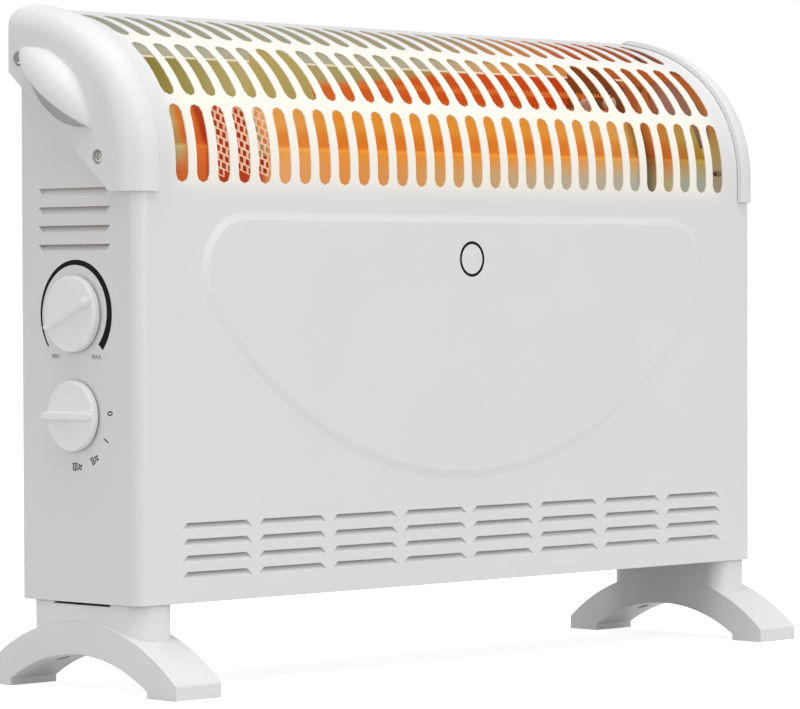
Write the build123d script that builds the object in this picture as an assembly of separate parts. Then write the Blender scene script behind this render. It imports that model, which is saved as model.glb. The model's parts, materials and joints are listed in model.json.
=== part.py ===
from build123d import *
from math import asin, atan2, cos, hypot, pi, radians, sin, sqrt
import os

# Convector heater with a slotted, curved top, moulded end caps and arched feet.
# Millimetres. +Z up, the front faces -Y, the controls are on the -X side.
# The origin is on the floor, under the middle of the heater.

# Sheet metal body
BODY_WIDTH = 590.0
BODY_DEPTH = 108.0
BODY_BOTTOM = 55.5
SHEET = 0.8
CORNER_RADIUS = 8.0
CURVE_START = 328.0
FRONT_CURVE_RADIUS = 90.0
FRONT_CURVE_ANGLE = 53.3
TOP_CURVE_RADIUS = 136.0
TOP_TILT = 78.0
BOTTOM_FRONT_LIP = 12.0
BOTTOM_SIDE_LIP = 44.0
REAR_FLANGE = 12.0
REAR_FLANGE_TOP = 380.0
SEAT_GAP = 0.2
EDGE_GAP = 0.3

# Outlet grille: three rows of round-ended slots, given as lengths along the curved sheet
SLOT_COUNT = 30
SLOT_PITCH = 17.74
SLOT_WIDTH = 10.6
SLOT_ROWS = [(-11.5, 38.6), (44.8, 92.3), (101.3, 144.6)]
SLOT_END_FACETS = 4

# Inlet louvres on the front, pressed inward below a straight cut
VENT_COLUMNS = 8
VENT_ROWS = 4
VENT_PITCH = 65.4
VENT_ROW_PITCH = 10.16
VENT_TOP = 105.2
VENT_TOP_LENGTH = 50.8
VENT_BOTTOM_LENGTH = 59.7
VENT_HEIGHT = 4.2
VENT_DEPTH = 3.4

# Louvres on each side panel
LOUVRE_COUNT = 4
LOUVRE_PITCH = 11.7
LOUVRE_TOP = 313.4
LOUVRE_TOP_LENGTH = 67.0
LOUVRE_BOTTOM_LENGTH = 58.0
LOUVRE_HEIGHT = 5.0
LOUVRE_DEPTH = 3.6
LOUVRE_CENTRE = 4.5

# Raised field on the front: straight top edge, circular lower edge
FIELD_TOP = 298.5
FIELD_ARC_RADIUS = 295.5
FIELD_BOTTOM = 124.5
FIELD_CORNER = 37.0
FIELD_SLOPE = 5.0
FIELD_RISE = 1.5

# Moulded end caps
CAP_PROUD = 3.3
CAP_SIDE = 6.0
CAP_SEAM_INSET = 16.0
CAP_OVERLAP = 3.5
CAP_ROUNDING = 17.5
CAP_INNER_ROUNDING = 14.5
CAP_BOTTOM = 310.4
CAP_DIAGONAL_FRONT = -34.5
CAP_REAR = 59.4
CAP_REAR_BOTTOM = 387.4
CAP_REAR_ROUNDING = 11.0
CAP_SKIN = 2.8
CAP_RIM = 3.0
CAP_SCREWS = [(-24.1, 331.9), (50.5, 395.3)]
CAP_BOSS_RADIUS = 6.2
CAP_SCREW_RECESS = 9.4
CORNER_INSET = 13.0
CORNER_CUT_BOTTOM = 316.0

# Finger grip in each cap: a pointed spindle, open below and outside
GRIP_CENTRE = (14.1, 375.6)
GRIP_TILT = 38.2
GRIP_HALF_LENGTH = 43.0
GRIP_RADIUS = 18.0
GRIP_WALL = 2.2
GRIP_WINDOW_GAP = 0.5
GRIP_STEPS = 14

# Feet
FOOT_OUTER = 297.9
FOOT_WIDTH = 38.0
FOOT_UPRIGHT_INSET = 3.9
FOOT_UPRIGHT_LENGTH = 104.8
FOOT_UPRIGHT_RADIUS = 13.7
FOOT_ARCH_TOP = 43.7
FOOT_TIP_HEIGHT = 9.0
FOOT_HOLLOW_TOP = 23.3
FOOT_HOLLOW_RADIUS = 118.3
FOOT_HALF_LENGTH = 89.8
FOOT_HALF_GAP = 64.3
FOOT_WALL = 2.6
FOOT_TOP_GAP = 1.5
FOOT_PAD_LENGTH = 26.0
FOOT_SCREW_Y = 36.0
FOOT_BOSS_RADIUS = 7.0
FOOT_RECESS_DIAMETER = 9.2
FOOT_SCREW_SEAT = 32.0
FOOT_TIP_ROUNDING = 2.0

# Screws, simple forms with few faces
SCREW_DIAMETER = 4.0
SCREW_HEAD_DIAMETER = 7.6
SCREW_HEAD_HEIGHT = 2.4
SCREW_HEAD_FACES = 12
SCREW_SHANK_FACES = 6
SCREW_CLEARANCE = 0.1
SCREW_GRIP = 6.0

# Rear panel, with inlet slots in the back and in the base
REAR_SCREW_HEIGHTS = [92.0, 230.0, 362.0]
REAR_CORNER = 18.0
REAR_SLOT_COLUMNS = 8
REAR_SLOT_ROWS = 4
REAR_SLOT_LENGTH = 52.0
REAR_SLOT_WIDTH = 4.4
REAR_SLOT_ROW_PITCH = 11.0
REAR_SLOT_BOTTOM = 118.0
BASE_FRONT_GAP = 3.0
BASE_SLOT_ROWS = 3
BASE_SLOT_ROW_PITCH = 20.0
BASE_SLOT_WIDTH = 9.0
BASE_SLOT_Y = 2.0
GLAND_X = -236.0
GLAND_Z = 84.0
GLAND_HOLE = 14.0
GLAND_BORE = 8.0
GLAND_FLANGE = 19.0
GLAND_FLANGE_HEIGHT = 2.0
GLAND_EDGE = 0.9
GLAND_BARREL = 5.0

# Controls on the left side
CONTROL_Y = 3.2
THERMOSTAT_Z = 235.2
SWITCH_Z = 171.7
THERMOSTAT_KNOB_DIAMETER = 47.8
SWITCH_KNOB_DIAMETER = 44.0
KNOB_GAP = 1.5
KNOB_THICKNESS = 4.5
KNOB_WALL = 1.6
KNOB_EDGE = 1.0
KNOB_HUB_DIAMETER = 11.0
KNOB_HUB_DEPTH = 4.4
KNOB_RIB_WIDTH = 5.6
KNOB_RIB_HEIGHT = 5.8
KNOB_RIB_POINTER = 2.6
KNOB_RIB_MARGIN = 0.8
KNOB_RIB_ROOT = 1.0
KNOB_TAIL_BEVEL = 1.6
KNOB_TAIL_LENGTH = 12.0
THERMOSTAT_REST = 202.0
SHAFT_DIAMETER = 6.0
SHAFT_FLAT = 1.4
SHAFT_CLEARANCE = 0.06
KNOB_PRESS_CLEARANCE = 0.02
SHAFT_ENGAGEMENT = 3.0
SHAFT_END_GAP = 0.2
SHAFT_DEPTH = 14.0
NECK_DIAMETER = 9.0
NECK_LENGTH = 1.0
CONTROL_SCREW_RADIUS = 13.0
CONTROL_SCREW_LENGTH = 5.0
CONTROL_SCREW_HEAD = 1.3
CONTROL_PLATE = 1.5
CONTROL_PLATE_WIDTH = 24.0
CONTROL_PLATE_MARGIN = 4.5
THERMOSTAT_CASE = (30.0, 18.0, 17.0)
SWITCH_CASE = (32.0, 18.0, 20.0)
BLADE_WIDTH = 6.3
BLADE_THICKNESS = 0.8
BLADE_LENGTH = 7.0
BLADE_OFFSET = 8.0

# Heating chamber
FRONT_SHIELD_Y = -40.0
REAR_SHIELD_Y = 38.0
SHIELD_BOTTOM = 118.0
SHIELD_SHEET = 0.6
FRONT_SHIELD_FOLD = 340.0
FRONT_SHIELD_STEP = 4.0
FRONT_SHIELD_LEAN = 24.0
FRONT_SHIELD_TOP = 372.0
REAR_SHIELD_TOP = 407.0
SHIELD_HALF_WIDTH = 262.0
PLATE_SHEET = 1.0
LEFT_PLATE_X = -112.0
RIGHT_PLATE_X = 201.0
PLATE_BOTTOM = 210.0
PLATE_TOP = 420.0
PLATE_INSET = 9.0
REAR_SHIELD_FLANGE_DROP = 60.0
CONTROL_SHIELD_LIFT = 4.0
CONTROL_SHIELD_X = -232.0
CONTROL_SHIELD_TOP = 305.0

# Heating wires
WIRE_SIZE = 1.6
WIRE_RUNS = 6
WIRE_PITCH = 11.0
WIRE_BOTTOM = 330.0
WIRE_PLANES = [-9.0, 13.0]
MICA_THICKNESS = 1.2
MICA_WIDTH = 30.0
PEG_GAP = 0.2
PEG_LENGTH = 5.0
PEG_PIN = 1.6
PEG_FACES = 10
MICA_BELOW = 12.0
MICA_ABOVE = 8.0

# Limiter on the right end plate
CUTOUT_Y = 5.0
CUTOUT_Z = 300.0
CUTOUT_PLATE = (12.0, 32.0, 1.0)
CUTOUT_DIAMETER = 16.0
CUTOUT_DEPTH = 8.0
CUTOUT_BLADE_OFFSET = 4.0

# Terminal block on the control shield
TERMINAL_BOTTOM = 132.0
TERMINAL_HEIGHT = 20.0
TERMINAL_DEPTH = 14.0
TERMINAL_LENGTH = 36.0
TERMINAL_HOLES = 3
TERMINAL_HOLE_PITCH = 12.0
TERMINAL_HOLE_DIAMETER = 4.4

# Turbo fan
FAN_X = -190.0
FAN_Z = 262.0
FAN_IMPELLER_DIAMETER = 66.0
FAN_IMPELLER_DEPTH = 26.0
FAN_BLADES = 12
FAN_BLADE_DEPTH = 8.0
FAN_BLADE_THICKNESS = 0.8
FAN_BLADE_TURN = 35.0
FAN_DISC = 1.4
FAN_RING_WIDTH = 2.5
FAN_HUB_DIAMETER = 12.0
FAN_HUB_LENGTH = 12.0
FAN_RUNNING_GAP = 3.0
FAN_FRONT = -27.0
FAN_BACK = 8.0
FAN_CASE_WALL = 1.2
FAN_CASE_HALF_WIDTH = 39.0
FAN_CASE_TOP = 335.0
FAN_LEG_HEIGHT = 40.0
FAN_INLET_DIAMETER = 52.0
FAN_SHAFT_DIAMETER = 4.0
FAN_SHAFT_HOLE_GAP = 1.0
GUARD_X = -194.0
GUARD_WIDTH = 56.0
GUARD_BOTTOM = 320.0
GUARD_TOP = 368.0
GUARD_THICKNESS = 1.0
GUARD_MARGIN = 4.0
GUARD_ROWS = 6
GUARD_COLUMNS = 6
GUARD_STRAND = 1.6
MOTOR_CORE_DEPTH = 12.0
MOTOR_COIL_DEPTH = 18.0
MOTOR_WIDTH = 48.0
MOTOR_HEIGHT = 42.0
MOTOR_LOW = 18.0
MOTOR_COIL_WIDTH = 28.0
MOTOR_COIL_LOW = 8.0
MOTOR_COIL_HEIGHT = 14.0
MOTOR_BRACKET = (60.0, 1.2, 16.0)

HALF_WIDTH = BODY_WIDTH / 2
FRONT = -BODY_DEPTH / 2
BACK = BODY_DEPTH / 2
SEAM_X = HALF_WIDTH - CAP_SEAM_INSET


def export(shape, node):
    """Write one piece to its own file."""
    export_step(shape, "parts/" + node + ".step")


def block(x_low, x_high, y_low, y_high, z_low, z_high):
    """Box given by its faces."""
    size = (x_high - x_low, y_high - y_low, z_high - z_low)
    centre = ((x_low + x_high) / 2, (y_low + y_high) / 2, (z_low + z_high) / 2)
    return Pos(*centre) * Box(*size)


def mirrored(shape):
    """The same piece on the other side of the heater."""
    return mirror(shape, about=Plane.YZ)


def profile_point(distance, inset=0.0):
    """Point of the side outline and its lean, by the length along the sheet from the curve's start."""
    first_length = FRONT_CURVE_RADIUS * radians(FRONT_CURVE_ANGLE)
    second_angle = TOP_TILT - FRONT_CURVE_ANGLE
    second_length = TOP_CURVE_RADIUS * radians(second_angle)
    first_centre = (FRONT + FRONT_CURVE_RADIUS, CURVE_START)
    offset = TOP_CURVE_RADIUS - FRONT_CURVE_RADIUS
    turn = radians(FRONT_CURVE_ANGLE)
    second_centre = (first_centre[0] + offset * cos(turn), first_centre[1] - offset * sin(turn))
    if distance <= 0:
        return FRONT + inset, CURVE_START + distance, 0.0
    if distance <= first_length:
        lean = distance / FRONT_CURVE_RADIUS
        centre, radius = first_centre, FRONT_CURVE_RADIUS - inset
    else:
        lean = radians(FRONT_CURVE_ANGLE) + min(distance - first_length, second_length) / TOP_CURVE_RADIUS
        centre, radius = second_centre, TOP_CURVE_RADIUS - inset
    extra = max(distance - first_length - second_length, 0.0)
    y = centre[0] - radius * cos(lean) + extra * sin(lean)
    z = centre[1] + radius * sin(lean) + extra * cos(lean)
    return y, z, lean


def side_outline(inset, low, back):
    """Closed outline of the body seen from the side, moved inward by the inset."""
    first_end = FRONT_CURVE_RADIUS * radians(FRONT_CURVE_ANGLE)
    second_end = first_end + TOP_CURVE_RADIUS * radians(TOP_TILT - FRONT_CURVE_ANGLE)
    start = profile_point(0, inset)[:2]
    first_middle = profile_point(first_end / 2, inset)[:2]
    first = profile_point(first_end, inset)[:2]
    second_middle = profile_point((first_end + second_end) / 2, inset)[:2]
    second = profile_point(second_end, inset)[:2]
    slope = cos(radians(TOP_TILT)) / sin(radians(TOP_TILT))
    top = (back, second[1] + (back - second[0]) * slope)
    wire = [
        Line((back, low), (start[0], low)),
        Line((start[0], low), start),
        ThreePointArc(start, first_middle, first),
        ThreePointArc(first, second_middle, second),
        Line(second, top),
        Line(top, (back, low)),
    ]
    return Plane.YZ * make_face(Wire(wire))


def body_form(inset, half_width, low, back, rounding):
    """Solid of the body's outline with rounded front and top edges."""
    form = extrude(side_outline(inset, low, back), amount=half_width, both=True)
    chain = []
    for edge in form.edges():
        middle = edge.center()
        on_side = abs(abs(middle.X) - half_width) < 0.01 and edge.bounding_box().size.X < 0.01
        at_back = abs(middle.Y - back) < 0.01
        at_bottom = abs(middle.Z - low) < 0.01
        if on_side and not at_back and not at_bottom:
            chain.append(edge)
    return fillet(chain, rounding)


def scoop(top_length, bottom_length, height, depth, wall, proud):
    """Pressed louvre: deepest along its top edge, flush along its bottom edge."""
    reach = depth + wall
    low = -(reach + proud) * height / depth
    top_half = top_length / 2 + wall
    low_half = top_half + (bottom_length - top_length) / 2 * -low / height
    outline = Polyline((-low_half, low), (low_half, low), (top_half, 0), (-top_half, 0), close=True)
    plate = Pos(0, 0, -reach) * extrude(make_face(outline), amount=reach + proud)
    ramp = Polyline((0, proud), (0, -reach), (low, proud), close=True)
    wedge = extrude(Plane.YZ * make_face(ramp), amount=bottom_length, both=True)
    return plate & wedge


def scoop_pair(top_length, bottom_length, height, depth):
    """The pressed skin of one louvre and the air space in it."""
    skin = scoop(top_length, bottom_length, height, depth, SHEET, -SHEET / 4)
    space = scoop(top_length, bottom_length, height, depth, 0.0, 1.0)
    return skin, space


def front_vents():
    """Skins and air spaces of the inlet louvres on the front."""
    skin, space = scoop_pair(VENT_TOP_LENGTH, VENT_BOTTOM_LENGTH, VENT_HEIGHT, VENT_DEPTH)
    skins, spaces = [], []
    for column in range(VENT_COLUMNS):
        for row in range(VENT_ROWS):
            x = (column - (VENT_COLUMNS - 1) / 2) * VENT_PITCH
            z = VENT_TOP - row * VENT_ROW_PITCH
            plane = Plane(origin=(x, FRONT, z), x_dir=(1, 0, 0), z_dir=(0, -1, 0))
            skins.append(plane * skin)
            spaces.append(plane * space)
    return skins, spaces


def side_louvres():
    """Skins and air spaces of the louvres on both sides."""
    skin, space = scoop_pair(LOUVRE_TOP_LENGTH, LOUVRE_BOTTOM_LENGTH, LOUVRE_HEIGHT, LOUVRE_DEPTH)
    skins, spaces = [], []
    for side in (-1, 1):
        for row in range(LOUVRE_COUNT):
            z = LOUVRE_TOP - row * LOUVRE_PITCH
            origin = (side * HALF_WIDTH, LOUVRE_CENTRE, z)
            plane = Plane(origin=origin, x_dir=(0, side, 0), z_dir=(side, 0, 0))
            skins.append(plane * skin)
            spaces.append(plane * space)
    return skins, spaces


def slot_outline(length, width):
    """Long slot along Y, with facets round each end."""
    radius = width / 2
    middle = length / 2 - radius
    turns = [pi * step / SLOT_END_FACETS for step in range(SLOT_END_FACETS + 1)]
    upper = [(radius * cos(turn), middle + radius * sin(turn)) for turn in turns]
    lower = [(-x, -y) for x, y in upper]
    return make_face(Polyline(*upper, *lower, close=True))


def grille_cutters():
    """One cutter for each row of outlet slots, square to the sheet at the row's middle."""
    cutters = []
    for start, end in SLOT_ROWS:
        y_start, z_start, _ = profile_point(start)
        y_end, z_end, _ = profile_point(end)
        lean = atan2(y_end - y_start, z_end - z_start)
        middle = (0, (y_start + y_end) / 2, (z_start + z_end) / 2)
        plane = Plane(origin=middle, x_dir=(1, 0, 0), z_dir=(0, -cos(lean), sin(lean)))
        length = hypot(y_end - y_start, z_end - z_start)
        places = GridLocations(SLOT_PITCH, 1, SLOT_COUNT, 1)
        cutters.append(pattern_cutter(plane, places, slot_outline(length, SLOT_WIDTH), 6))
    return cutters


def pattern_cutter(plane, places, opening, reach):
    """Cutter with a copy of the opening at each place of the plane."""
    openings = Sketch() + [plane * place * opening for place in places]
    return extrude(openings, amount=reach, both=True)


def field_outline(inset):
    """Outline of the raised field, moved inward by the inset."""
    top = FIELD_TOP - inset
    radius = FIELD_ARC_RADIUS - inset
    corner = FIELD_CORNER - inset
    arc_centre = FIELD_BOTTOM + FIELD_ARC_RADIUS
    rise = arc_centre - top + corner
    corner_x = sqrt((radius - corner) ** 2 - rise ** 2)
    corner_z = top - corner
    reach = radius / (radius - corner)
    low_x, low_z = corner_x * reach, arc_centre - rise * reach
    bisector = (atan2(low_z - corner_z, low_x - corner_x) + pi / 2) / 2
    middle = (corner_x + corner * cos(bisector), corner_z + corner * sin(bisector))
    wire = [
        Line((-corner_x, top), (corner_x, top)),
        ThreePointArc((corner_x, top), middle, (low_x, low_z)),
        ThreePointArc((low_x, low_z), (0, arc_centre - radius), (-low_x, low_z)),
        ThreePointArc((-low_x, low_z), (-middle[0], middle[1]), (-corner_x, top)),
    ]
    return make_face(Wire(wire))


def raised_field(shift):
    """Raised field of the front as a solid, moved into the body by the shift."""
    plane_low = Plane(origin=(0, FRONT + shift, 0), x_dir=(1, 0, 0), z_dir=(0, -1, 0))
    plane_high = plane_low.offset(FIELD_RISE)
    return loft([plane_low * field_outline(0), plane_high * field_outline(FIELD_SLOPE)], ruled=True)


def grip_spindle(extra):
    """Pointed spindle of the finger grip, on the left cap's outer face."""
    arc_radius = (GRIP_HALF_LENGTH ** 2 + GRIP_RADIUS ** 2) / (2 * GRIP_RADIUS)
    radius = arc_radius + extra
    sag = arc_radius - GRIP_RADIUS
    half = sqrt(radius ** 2 - sag ** 2)
    reach = asin(half / radius)
    turns = [reach * (2 * step / GRIP_STEPS - 1) for step in range(1, GRIP_STEPS)]
    ridge = [(radius * sin(turn), radius * cos(turn) - sag) for turn in turns]
    face = make_face(Polyline((-half, 0), *ridge, (half, 0), close=True))
    spindle = revolve(face, axis=Axis.X)
    place = Plane(
        origin=(-HALF_WIDTH - CAP_SIDE, GRIP_CENTRE[0], GRIP_CENTRE[1]),
        x_dir=(0, cos(radians(GRIP_TILT)), sin(radians(GRIP_TILT))),
        z_dir=(-1, 0, 0),
    )
    return place * spindle


def front_housing():
    """One folded sheet: front, sides, bottom lips and the slotted curved top."""
    outer = body_form(0, HALF_WIDTH, BODY_BOTTOM, BACK, CORNER_RADIUS)
    inner = body_form(SHEET, HALF_WIDTH - SHEET, BODY_BOTTOM + SHEET, BACK + 1, CORNER_RADIUS - SHEET)
    sheet = outer - inner
    opening_x = HALF_WIDTH - BOTTOM_SIDE_LIP
    sheet -= block(-opening_x, opening_x, FRONT + BOTTOM_FRONT_LIP, BACK + 1,
                   BODY_BOTTOM - 1, BODY_BOTTOM + 2)
    for side in (-1, 1):
        inner_x = side * (HALF_WIDTH - SHEET / 2)
        edge_x = side * (HALF_WIDTH - REAR_FLANGE)
        flange = block(min(inner_x, edge_x), max(inner_x, edge_x), BACK - 2 * SHEET, BACK - SHEET,
                       BODY_BOTTOM + 2 * SHEET + SEAT_GAP, REAR_FLANGE_TOP)
        sheet += flange
    strip_x = SEAM_X + CAP_OVERLAP
    corner = Pos(strip_x, 0, 0) * extrude(side_outline(-5, CORNER_CUT_BOTTOM, BACK + 5), amount=40)
    corner -= Pos(strip_x - 1, 0, 0) * extrude(side_outline(CORNER_INSET, 0, BACK + 6), amount=50)
    sheet -= [corner, mirrored(corner)]
    sheet += raised_field(0)
    sheet -= raised_field(SHEET)
    front_skins, front_spaces = front_vents()
    side_skins, side_spaces = side_louvres()
    sheet += front_skins + side_skins
    sheet -= front_spaces + side_spaces
    sheet -= grille_cutters()
    window = grip_spindle(GRIP_WINDOW_GAP)
    sheet -= [window, mirrored(window)]
    return sheet - housing_holes()


def housing_holes():
    """Holes for the control necks and every screw that enters the sheet."""
    holes = []
    for z in (THERMOSTAT_Z, SWITCH_Z):
        neck = Cylinder(NECK_DIAMETER / 2 + EDGE_GAP, 6)
        holes.append(Pos(-HALF_WIDTH, CONTROL_Y, z) * Rot(0, 90, 0) * neck)
        for offset in (-CONTROL_SCREW_RADIUS, CONTROL_SCREW_RADIUS):
            holes.append(Pos(-HALF_WIDTH, CONTROL_Y, z + offset) * Rot(0, 90, 0) * screw_hole(6))
    for side in (-1, 1):
        for y, z in CAP_SCREWS:
            holes.append(Pos(side * HALF_WIDTH, y, z) * Rot(0, 90, 0) * screw_hole(6))
        for z in REAR_SCREW_HEIGHTS:
            holes.append(Pos(side * rear_screw_x(), BACK, z) * Rot(90, 0, 0) * screw_hole(8))
        for y in (-FOOT_SCREW_Y, FOOT_SCREW_Y):
            holes.append(Pos(side * foot_centre_x(), y, BODY_BOTTOM) * screw_hole(8))
    return holes


def screw_hole(length):
    """Cutter for a screw's clearance hole, centred, along Z."""
    inradius = SCREW_DIAMETER / 2 + SCREW_CLEARANCE
    outline = RegularPolygon(inradius, SCREW_SHANK_FACES, major_radius=False)
    return extrude(outline, amount=length / 2, both=True)


def rear_screw_x():
    """Middle of the rear flange."""
    return HALF_WIDTH - SHEET - (REAR_FLANGE - SHEET) / 2


def foot_centre_x():
    """Middle of a foot's width."""
    return FOOT_OUTER - FOOT_WIDTH / 2


def screw(length, head_height=SCREW_HEAD_HEIGHT):
    """Pan-head screw: the head's seat is at the origin and the shank points down."""
    head = extrude(RegularPolygon(SCREW_HEAD_DIAMETER / 2, SCREW_HEAD_FACES), amount=head_height)
    shank = extrude(RegularPolygon(SCREW_DIAMETER / 2, SCREW_SHANK_FACES), amount=-length)
    return head + shank


def rear_panel():
    """Flat back with inlet slots, folded forward to close the bottom."""
    margin = SHEET + EDGE_GAP
    low = BODY_BOTTOM + SHEET
    form = extrude(side_outline(margin, low, BACK), amount=HALF_WIDTH, both=True)
    top = form.bounding_box().max.Z
    plane = Plane(origin=(0, BACK, 0), x_dir=(1, 0, 0), z_dir=(0, -1, 0))
    outline = Pos(0, (low + top) / 2) * Rectangle(BODY_WIDTH - 2 * margin, top - low)
    outline = fillet(outline.vertices().group_by(Axis.Y)[-1], REAR_CORNER)
    back = extrude(plane * outline, amount=SHEET) & form
    front_edge = FRONT + margin + BASE_FRONT_GAP
    base = block(-HALF_WIDTH + margin, HALF_WIDTH - margin, front_edge, BACK - SHEET / 2, low, low + SHEET)
    base = fillet(base.edges().filter_by(Axis.Z).group_by(Axis.Y)[0], CORNER_RADIUS)
    panel = back + base
    rows_middle = REAR_SLOT_BOTTOM + REAR_SLOT_ROW_PITCH * (REAR_SLOT_ROWS - 1) / 2
    back_slots = GridLocations(VENT_PITCH, REAR_SLOT_ROW_PITCH, REAR_SLOT_COLUMNS, REAR_SLOT_ROWS)
    back_plane = Plane(origin=(0, BACK, rows_middle), x_dir=(1, 0, 0), z_dir=(0, -1, 0))
    panel -= pattern_cutter(back_plane, back_slots, Rectangle(REAR_SLOT_LENGTH, REAR_SLOT_WIDTH), 3)
    base_slots = GridLocations(VENT_PITCH, BASE_SLOT_ROW_PITCH, REAR_SLOT_COLUMNS - 1, BASE_SLOT_ROWS)
    base_plane = Plane(origin=(0, BASE_SLOT_Y, low), x_dir=(1, 0, 0), z_dir=(0, 0, 1))
    panel -= pattern_cutter(base_plane, base_slots, Rectangle(REAR_SLOT_LENGTH, BASE_SLOT_WIDTH), 3)
    panel -= Pos(GLAND_X, BACK, GLAND_Z) * Rot(90, 0, 0) * Cylinder(GLAND_HOLE / 2, 6)
    for side in (-1, 1):
        for z in REAR_SCREW_HEIGHTS:
            panel -= Pos(side * rear_screw_x(), BACK, z) * Rot(90, 0, 0) * screw_hole(6)
        for y in (-FOOT_SCREW_Y, FOOT_SCREW_Y):
            panel -= Pos(side * foot_centre_x(), y, low) * screw_hole(6)
    return panel


def rear_panel_screws():
    """Screws that hold the back to the housing's flanges."""
    screws = []
    for side in (-1, 1):
        for z in REAR_SCREW_HEIGHTS:
            screws.append(Pos(side * rear_screw_x(), BACK, z) * Rot(-90, 0, 0) * screw(SCREW_GRIP))
    return Compound(children=screws)


def cord_gland():
    """Bush in the back where the mains lead goes in."""
    barrel = extrude(Circle(GLAND_HOLE / 2 - EDGE_GAP / 2), amount=-(SHEET + GLAND_BARREL))
    flange = extrude(Circle(GLAND_FLANGE / 2), amount=GLAND_FLANGE_HEIGHT)
    flange = chamfer(flange.edges().sort_by(Axis.Z)[-1], GLAND_EDGE)
    bush = barrel + flange
    bush -= Cylinder(GLAND_BORE / 2, 4 * (SHEET + GLAND_BARREL))
    return Pos(GLAND_X, BACK, GLAND_Z) * Rot(-90, 0, 0) * bush


def cap_clip():
    """Outline of a cap seen from the side, as a wide prism."""
    points = [
        (FRONT - 20, CAP_BOTTOM),
        (CAP_DIAGONAL_FRONT, CAP_BOTTOM),
        (CAP_REAR, CAP_REAR_BOTTOM),
        (CAP_REAR, 500),
        (FRONT - 20, 500),
    ]
    return Plane.YZ * make_face(Polyline(*points, close=True))


def cap_outer():
    """Outer form of the left cap before it is hollowed."""
    half = HALF_WIDTH + CAP_SIDE
    form = body_form(-CAP_PROUD, half, CAP_BOTTOM - 60, CAP_REAR + 30, CAP_ROUNDING)
    form = form & block(-half - 1, -SEAM_X, FRONT - 20, CAP_REAR, CAP_BOTTOM, 500)
    prism = Pos(-half - 5, 0, 0) * extrude(cap_clip(), amount=40)
    return (form & prism) - cap_rear_top_corner()


def cap_rear_top_corner():
    """Cutter that rounds the cap's rear top corner."""
    slope = cos(radians(TOP_TILT)) / sin(radians(TOP_TILT))
    second_end = FRONT_CURVE_RADIUS * radians(FRONT_CURVE_ANGLE)
    second_end += TOP_CURVE_RADIUS * radians(TOP_TILT - FRONT_CURVE_ANGLE)
    y, z, _ = profile_point(second_end, -CAP_PROUD)
    top = z + (CAP_REAR - y) * slope
    lean = radians(TOP_TILT)
    radius = CAP_REAR_ROUNDING
    centre_y = CAP_REAR - radius
    centre_z = top - radius * (slope + 1 / sin(lean))
    start_y = centre_y - radius * cos(lean)
    piece = block(-HALF_WIDTH - 20, -SEAM_X + 5, start_y, CAP_REAR + radius, centre_z, top + radius)
    roller = Pos(-HALF_WIDTH, centre_y, centre_z) * Rot(0, 90, 0) * Cylinder(radius, 80)
    return piece - roller


def left_end_cap():
    """Moulded cover of the top corner with a finger grip and two screw recesses."""
    outer = cap_outer()
    cap = outer - cap_envelope()
    cap -= cap_pocket()
    spindle = grip_spindle(0)
    cap -= spindle
    cap += spindle - grip_spindle(-GRIP_WALL) - grip_open_quarter()
    for y, z in CAP_SCREWS:
        face_x = -HALF_WIDTH - CAP_SIDE
        cap -= Pos(face_x, y, z) * Rot(0, 90, 0) * Cylinder(CAP_SCREW_RECESS / 2, 2 * (CAP_SIDE - CAP_SKIN))
        cap -= Pos(face_x, y, z) * Rot(0, 90, 0) * screw_hole(4 * CAP_SIDE)
    return cap


def grip_open_quarter():
    """Space outside the face and below the lip, where fingers reach in."""
    reach = GRIP_HALF_LENGTH + 10
    depth = GRIP_RADIUS + 10
    tool = Pos(0, -depth / 2, depth / 2) * Box(2 * reach, depth, depth)
    tilt = radians(GRIP_TILT)
    place = Plane(
        origin=(-HALF_WIDTH - CAP_SIDE, GRIP_CENTRE[0], GRIP_CENTRE[1]),
        x_dir=(0, -cos(tilt), -sin(tilt)),
        z_dir=(-1, 0, 0),
    )
    return place * tool


def cap_envelope():
    """Space inside the cap that the body's sheet fills."""
    inner = body_form(-EDGE_GAP, HALF_WIDTH + SEAT_GAP, CAP_BOTTOM - 50, BACK + SEAT_GAP, CAP_INNER_ROUNDING)
    corner = body_form(-EDGE_GAP, HALF_WIDTH + SEAT_GAP, CAP_BOTTOM - 40, BACK + SEAT_GAP, CORNER_RADIUS)
    wide = BODY_WIDTH + 40
    low_part = corner & block(-wide, wide, FRONT - 40, CAP_REAR + 40, 0, CORNER_CUT_BOTTOM + 1)
    return inner + low_part


def cap_pocket():
    """Hollow behind the cap's side wall, with solid bosses at the screws."""
    low_x = -HALF_WIDTH - CAP_SIDE + CAP_SKIN
    pocket_outline = side_outline(CORNER_INSET, CAP_BOTTOM - 60, BACK - 1)
    pocket = Pos(low_x, 0, 0) * extrude(pocket_outline, amount=CAP_SIDE)
    points = [
        (FRONT - 20, CAP_BOTTOM + CAP_RIM),
        (CAP_DIAGONAL_FRONT - CAP_RIM * 0.4, CAP_BOTTOM + CAP_RIM),
        (CAP_REAR - CAP_RIM * 0.4, CAP_REAR_BOTTOM + CAP_RIM),
        (CAP_REAR - CAP_RIM * 0.4, 500),
        (FRONT - 20, 500),
    ]
    inside = extrude(Plane.YZ * make_face(Polyline(*points, close=True)), amount=400, both=True)
    pocket = pocket & inside
    for y, z in CAP_SCREWS:
        pocket -= Pos(-HALF_WIDTH, y, z) * Rot(0, 90, 0) * Cylinder(CAP_BOSS_RADIUS, 40)
    return pocket


def end_cap_screws():
    """Two screws in each cap, seated at the bottom of their recesses."""
    screws = []
    for y, z in CAP_SCREWS:
        seat = -HALF_WIDTH - CAP_SKIN
        screws.append(Pos(seat, y, z) * Rot(0, -90, 0) * screw(CAP_SKIN + SCREW_GRIP))
    return Compound(children=screws + [mirrored(piece) for piece in screws])


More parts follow.
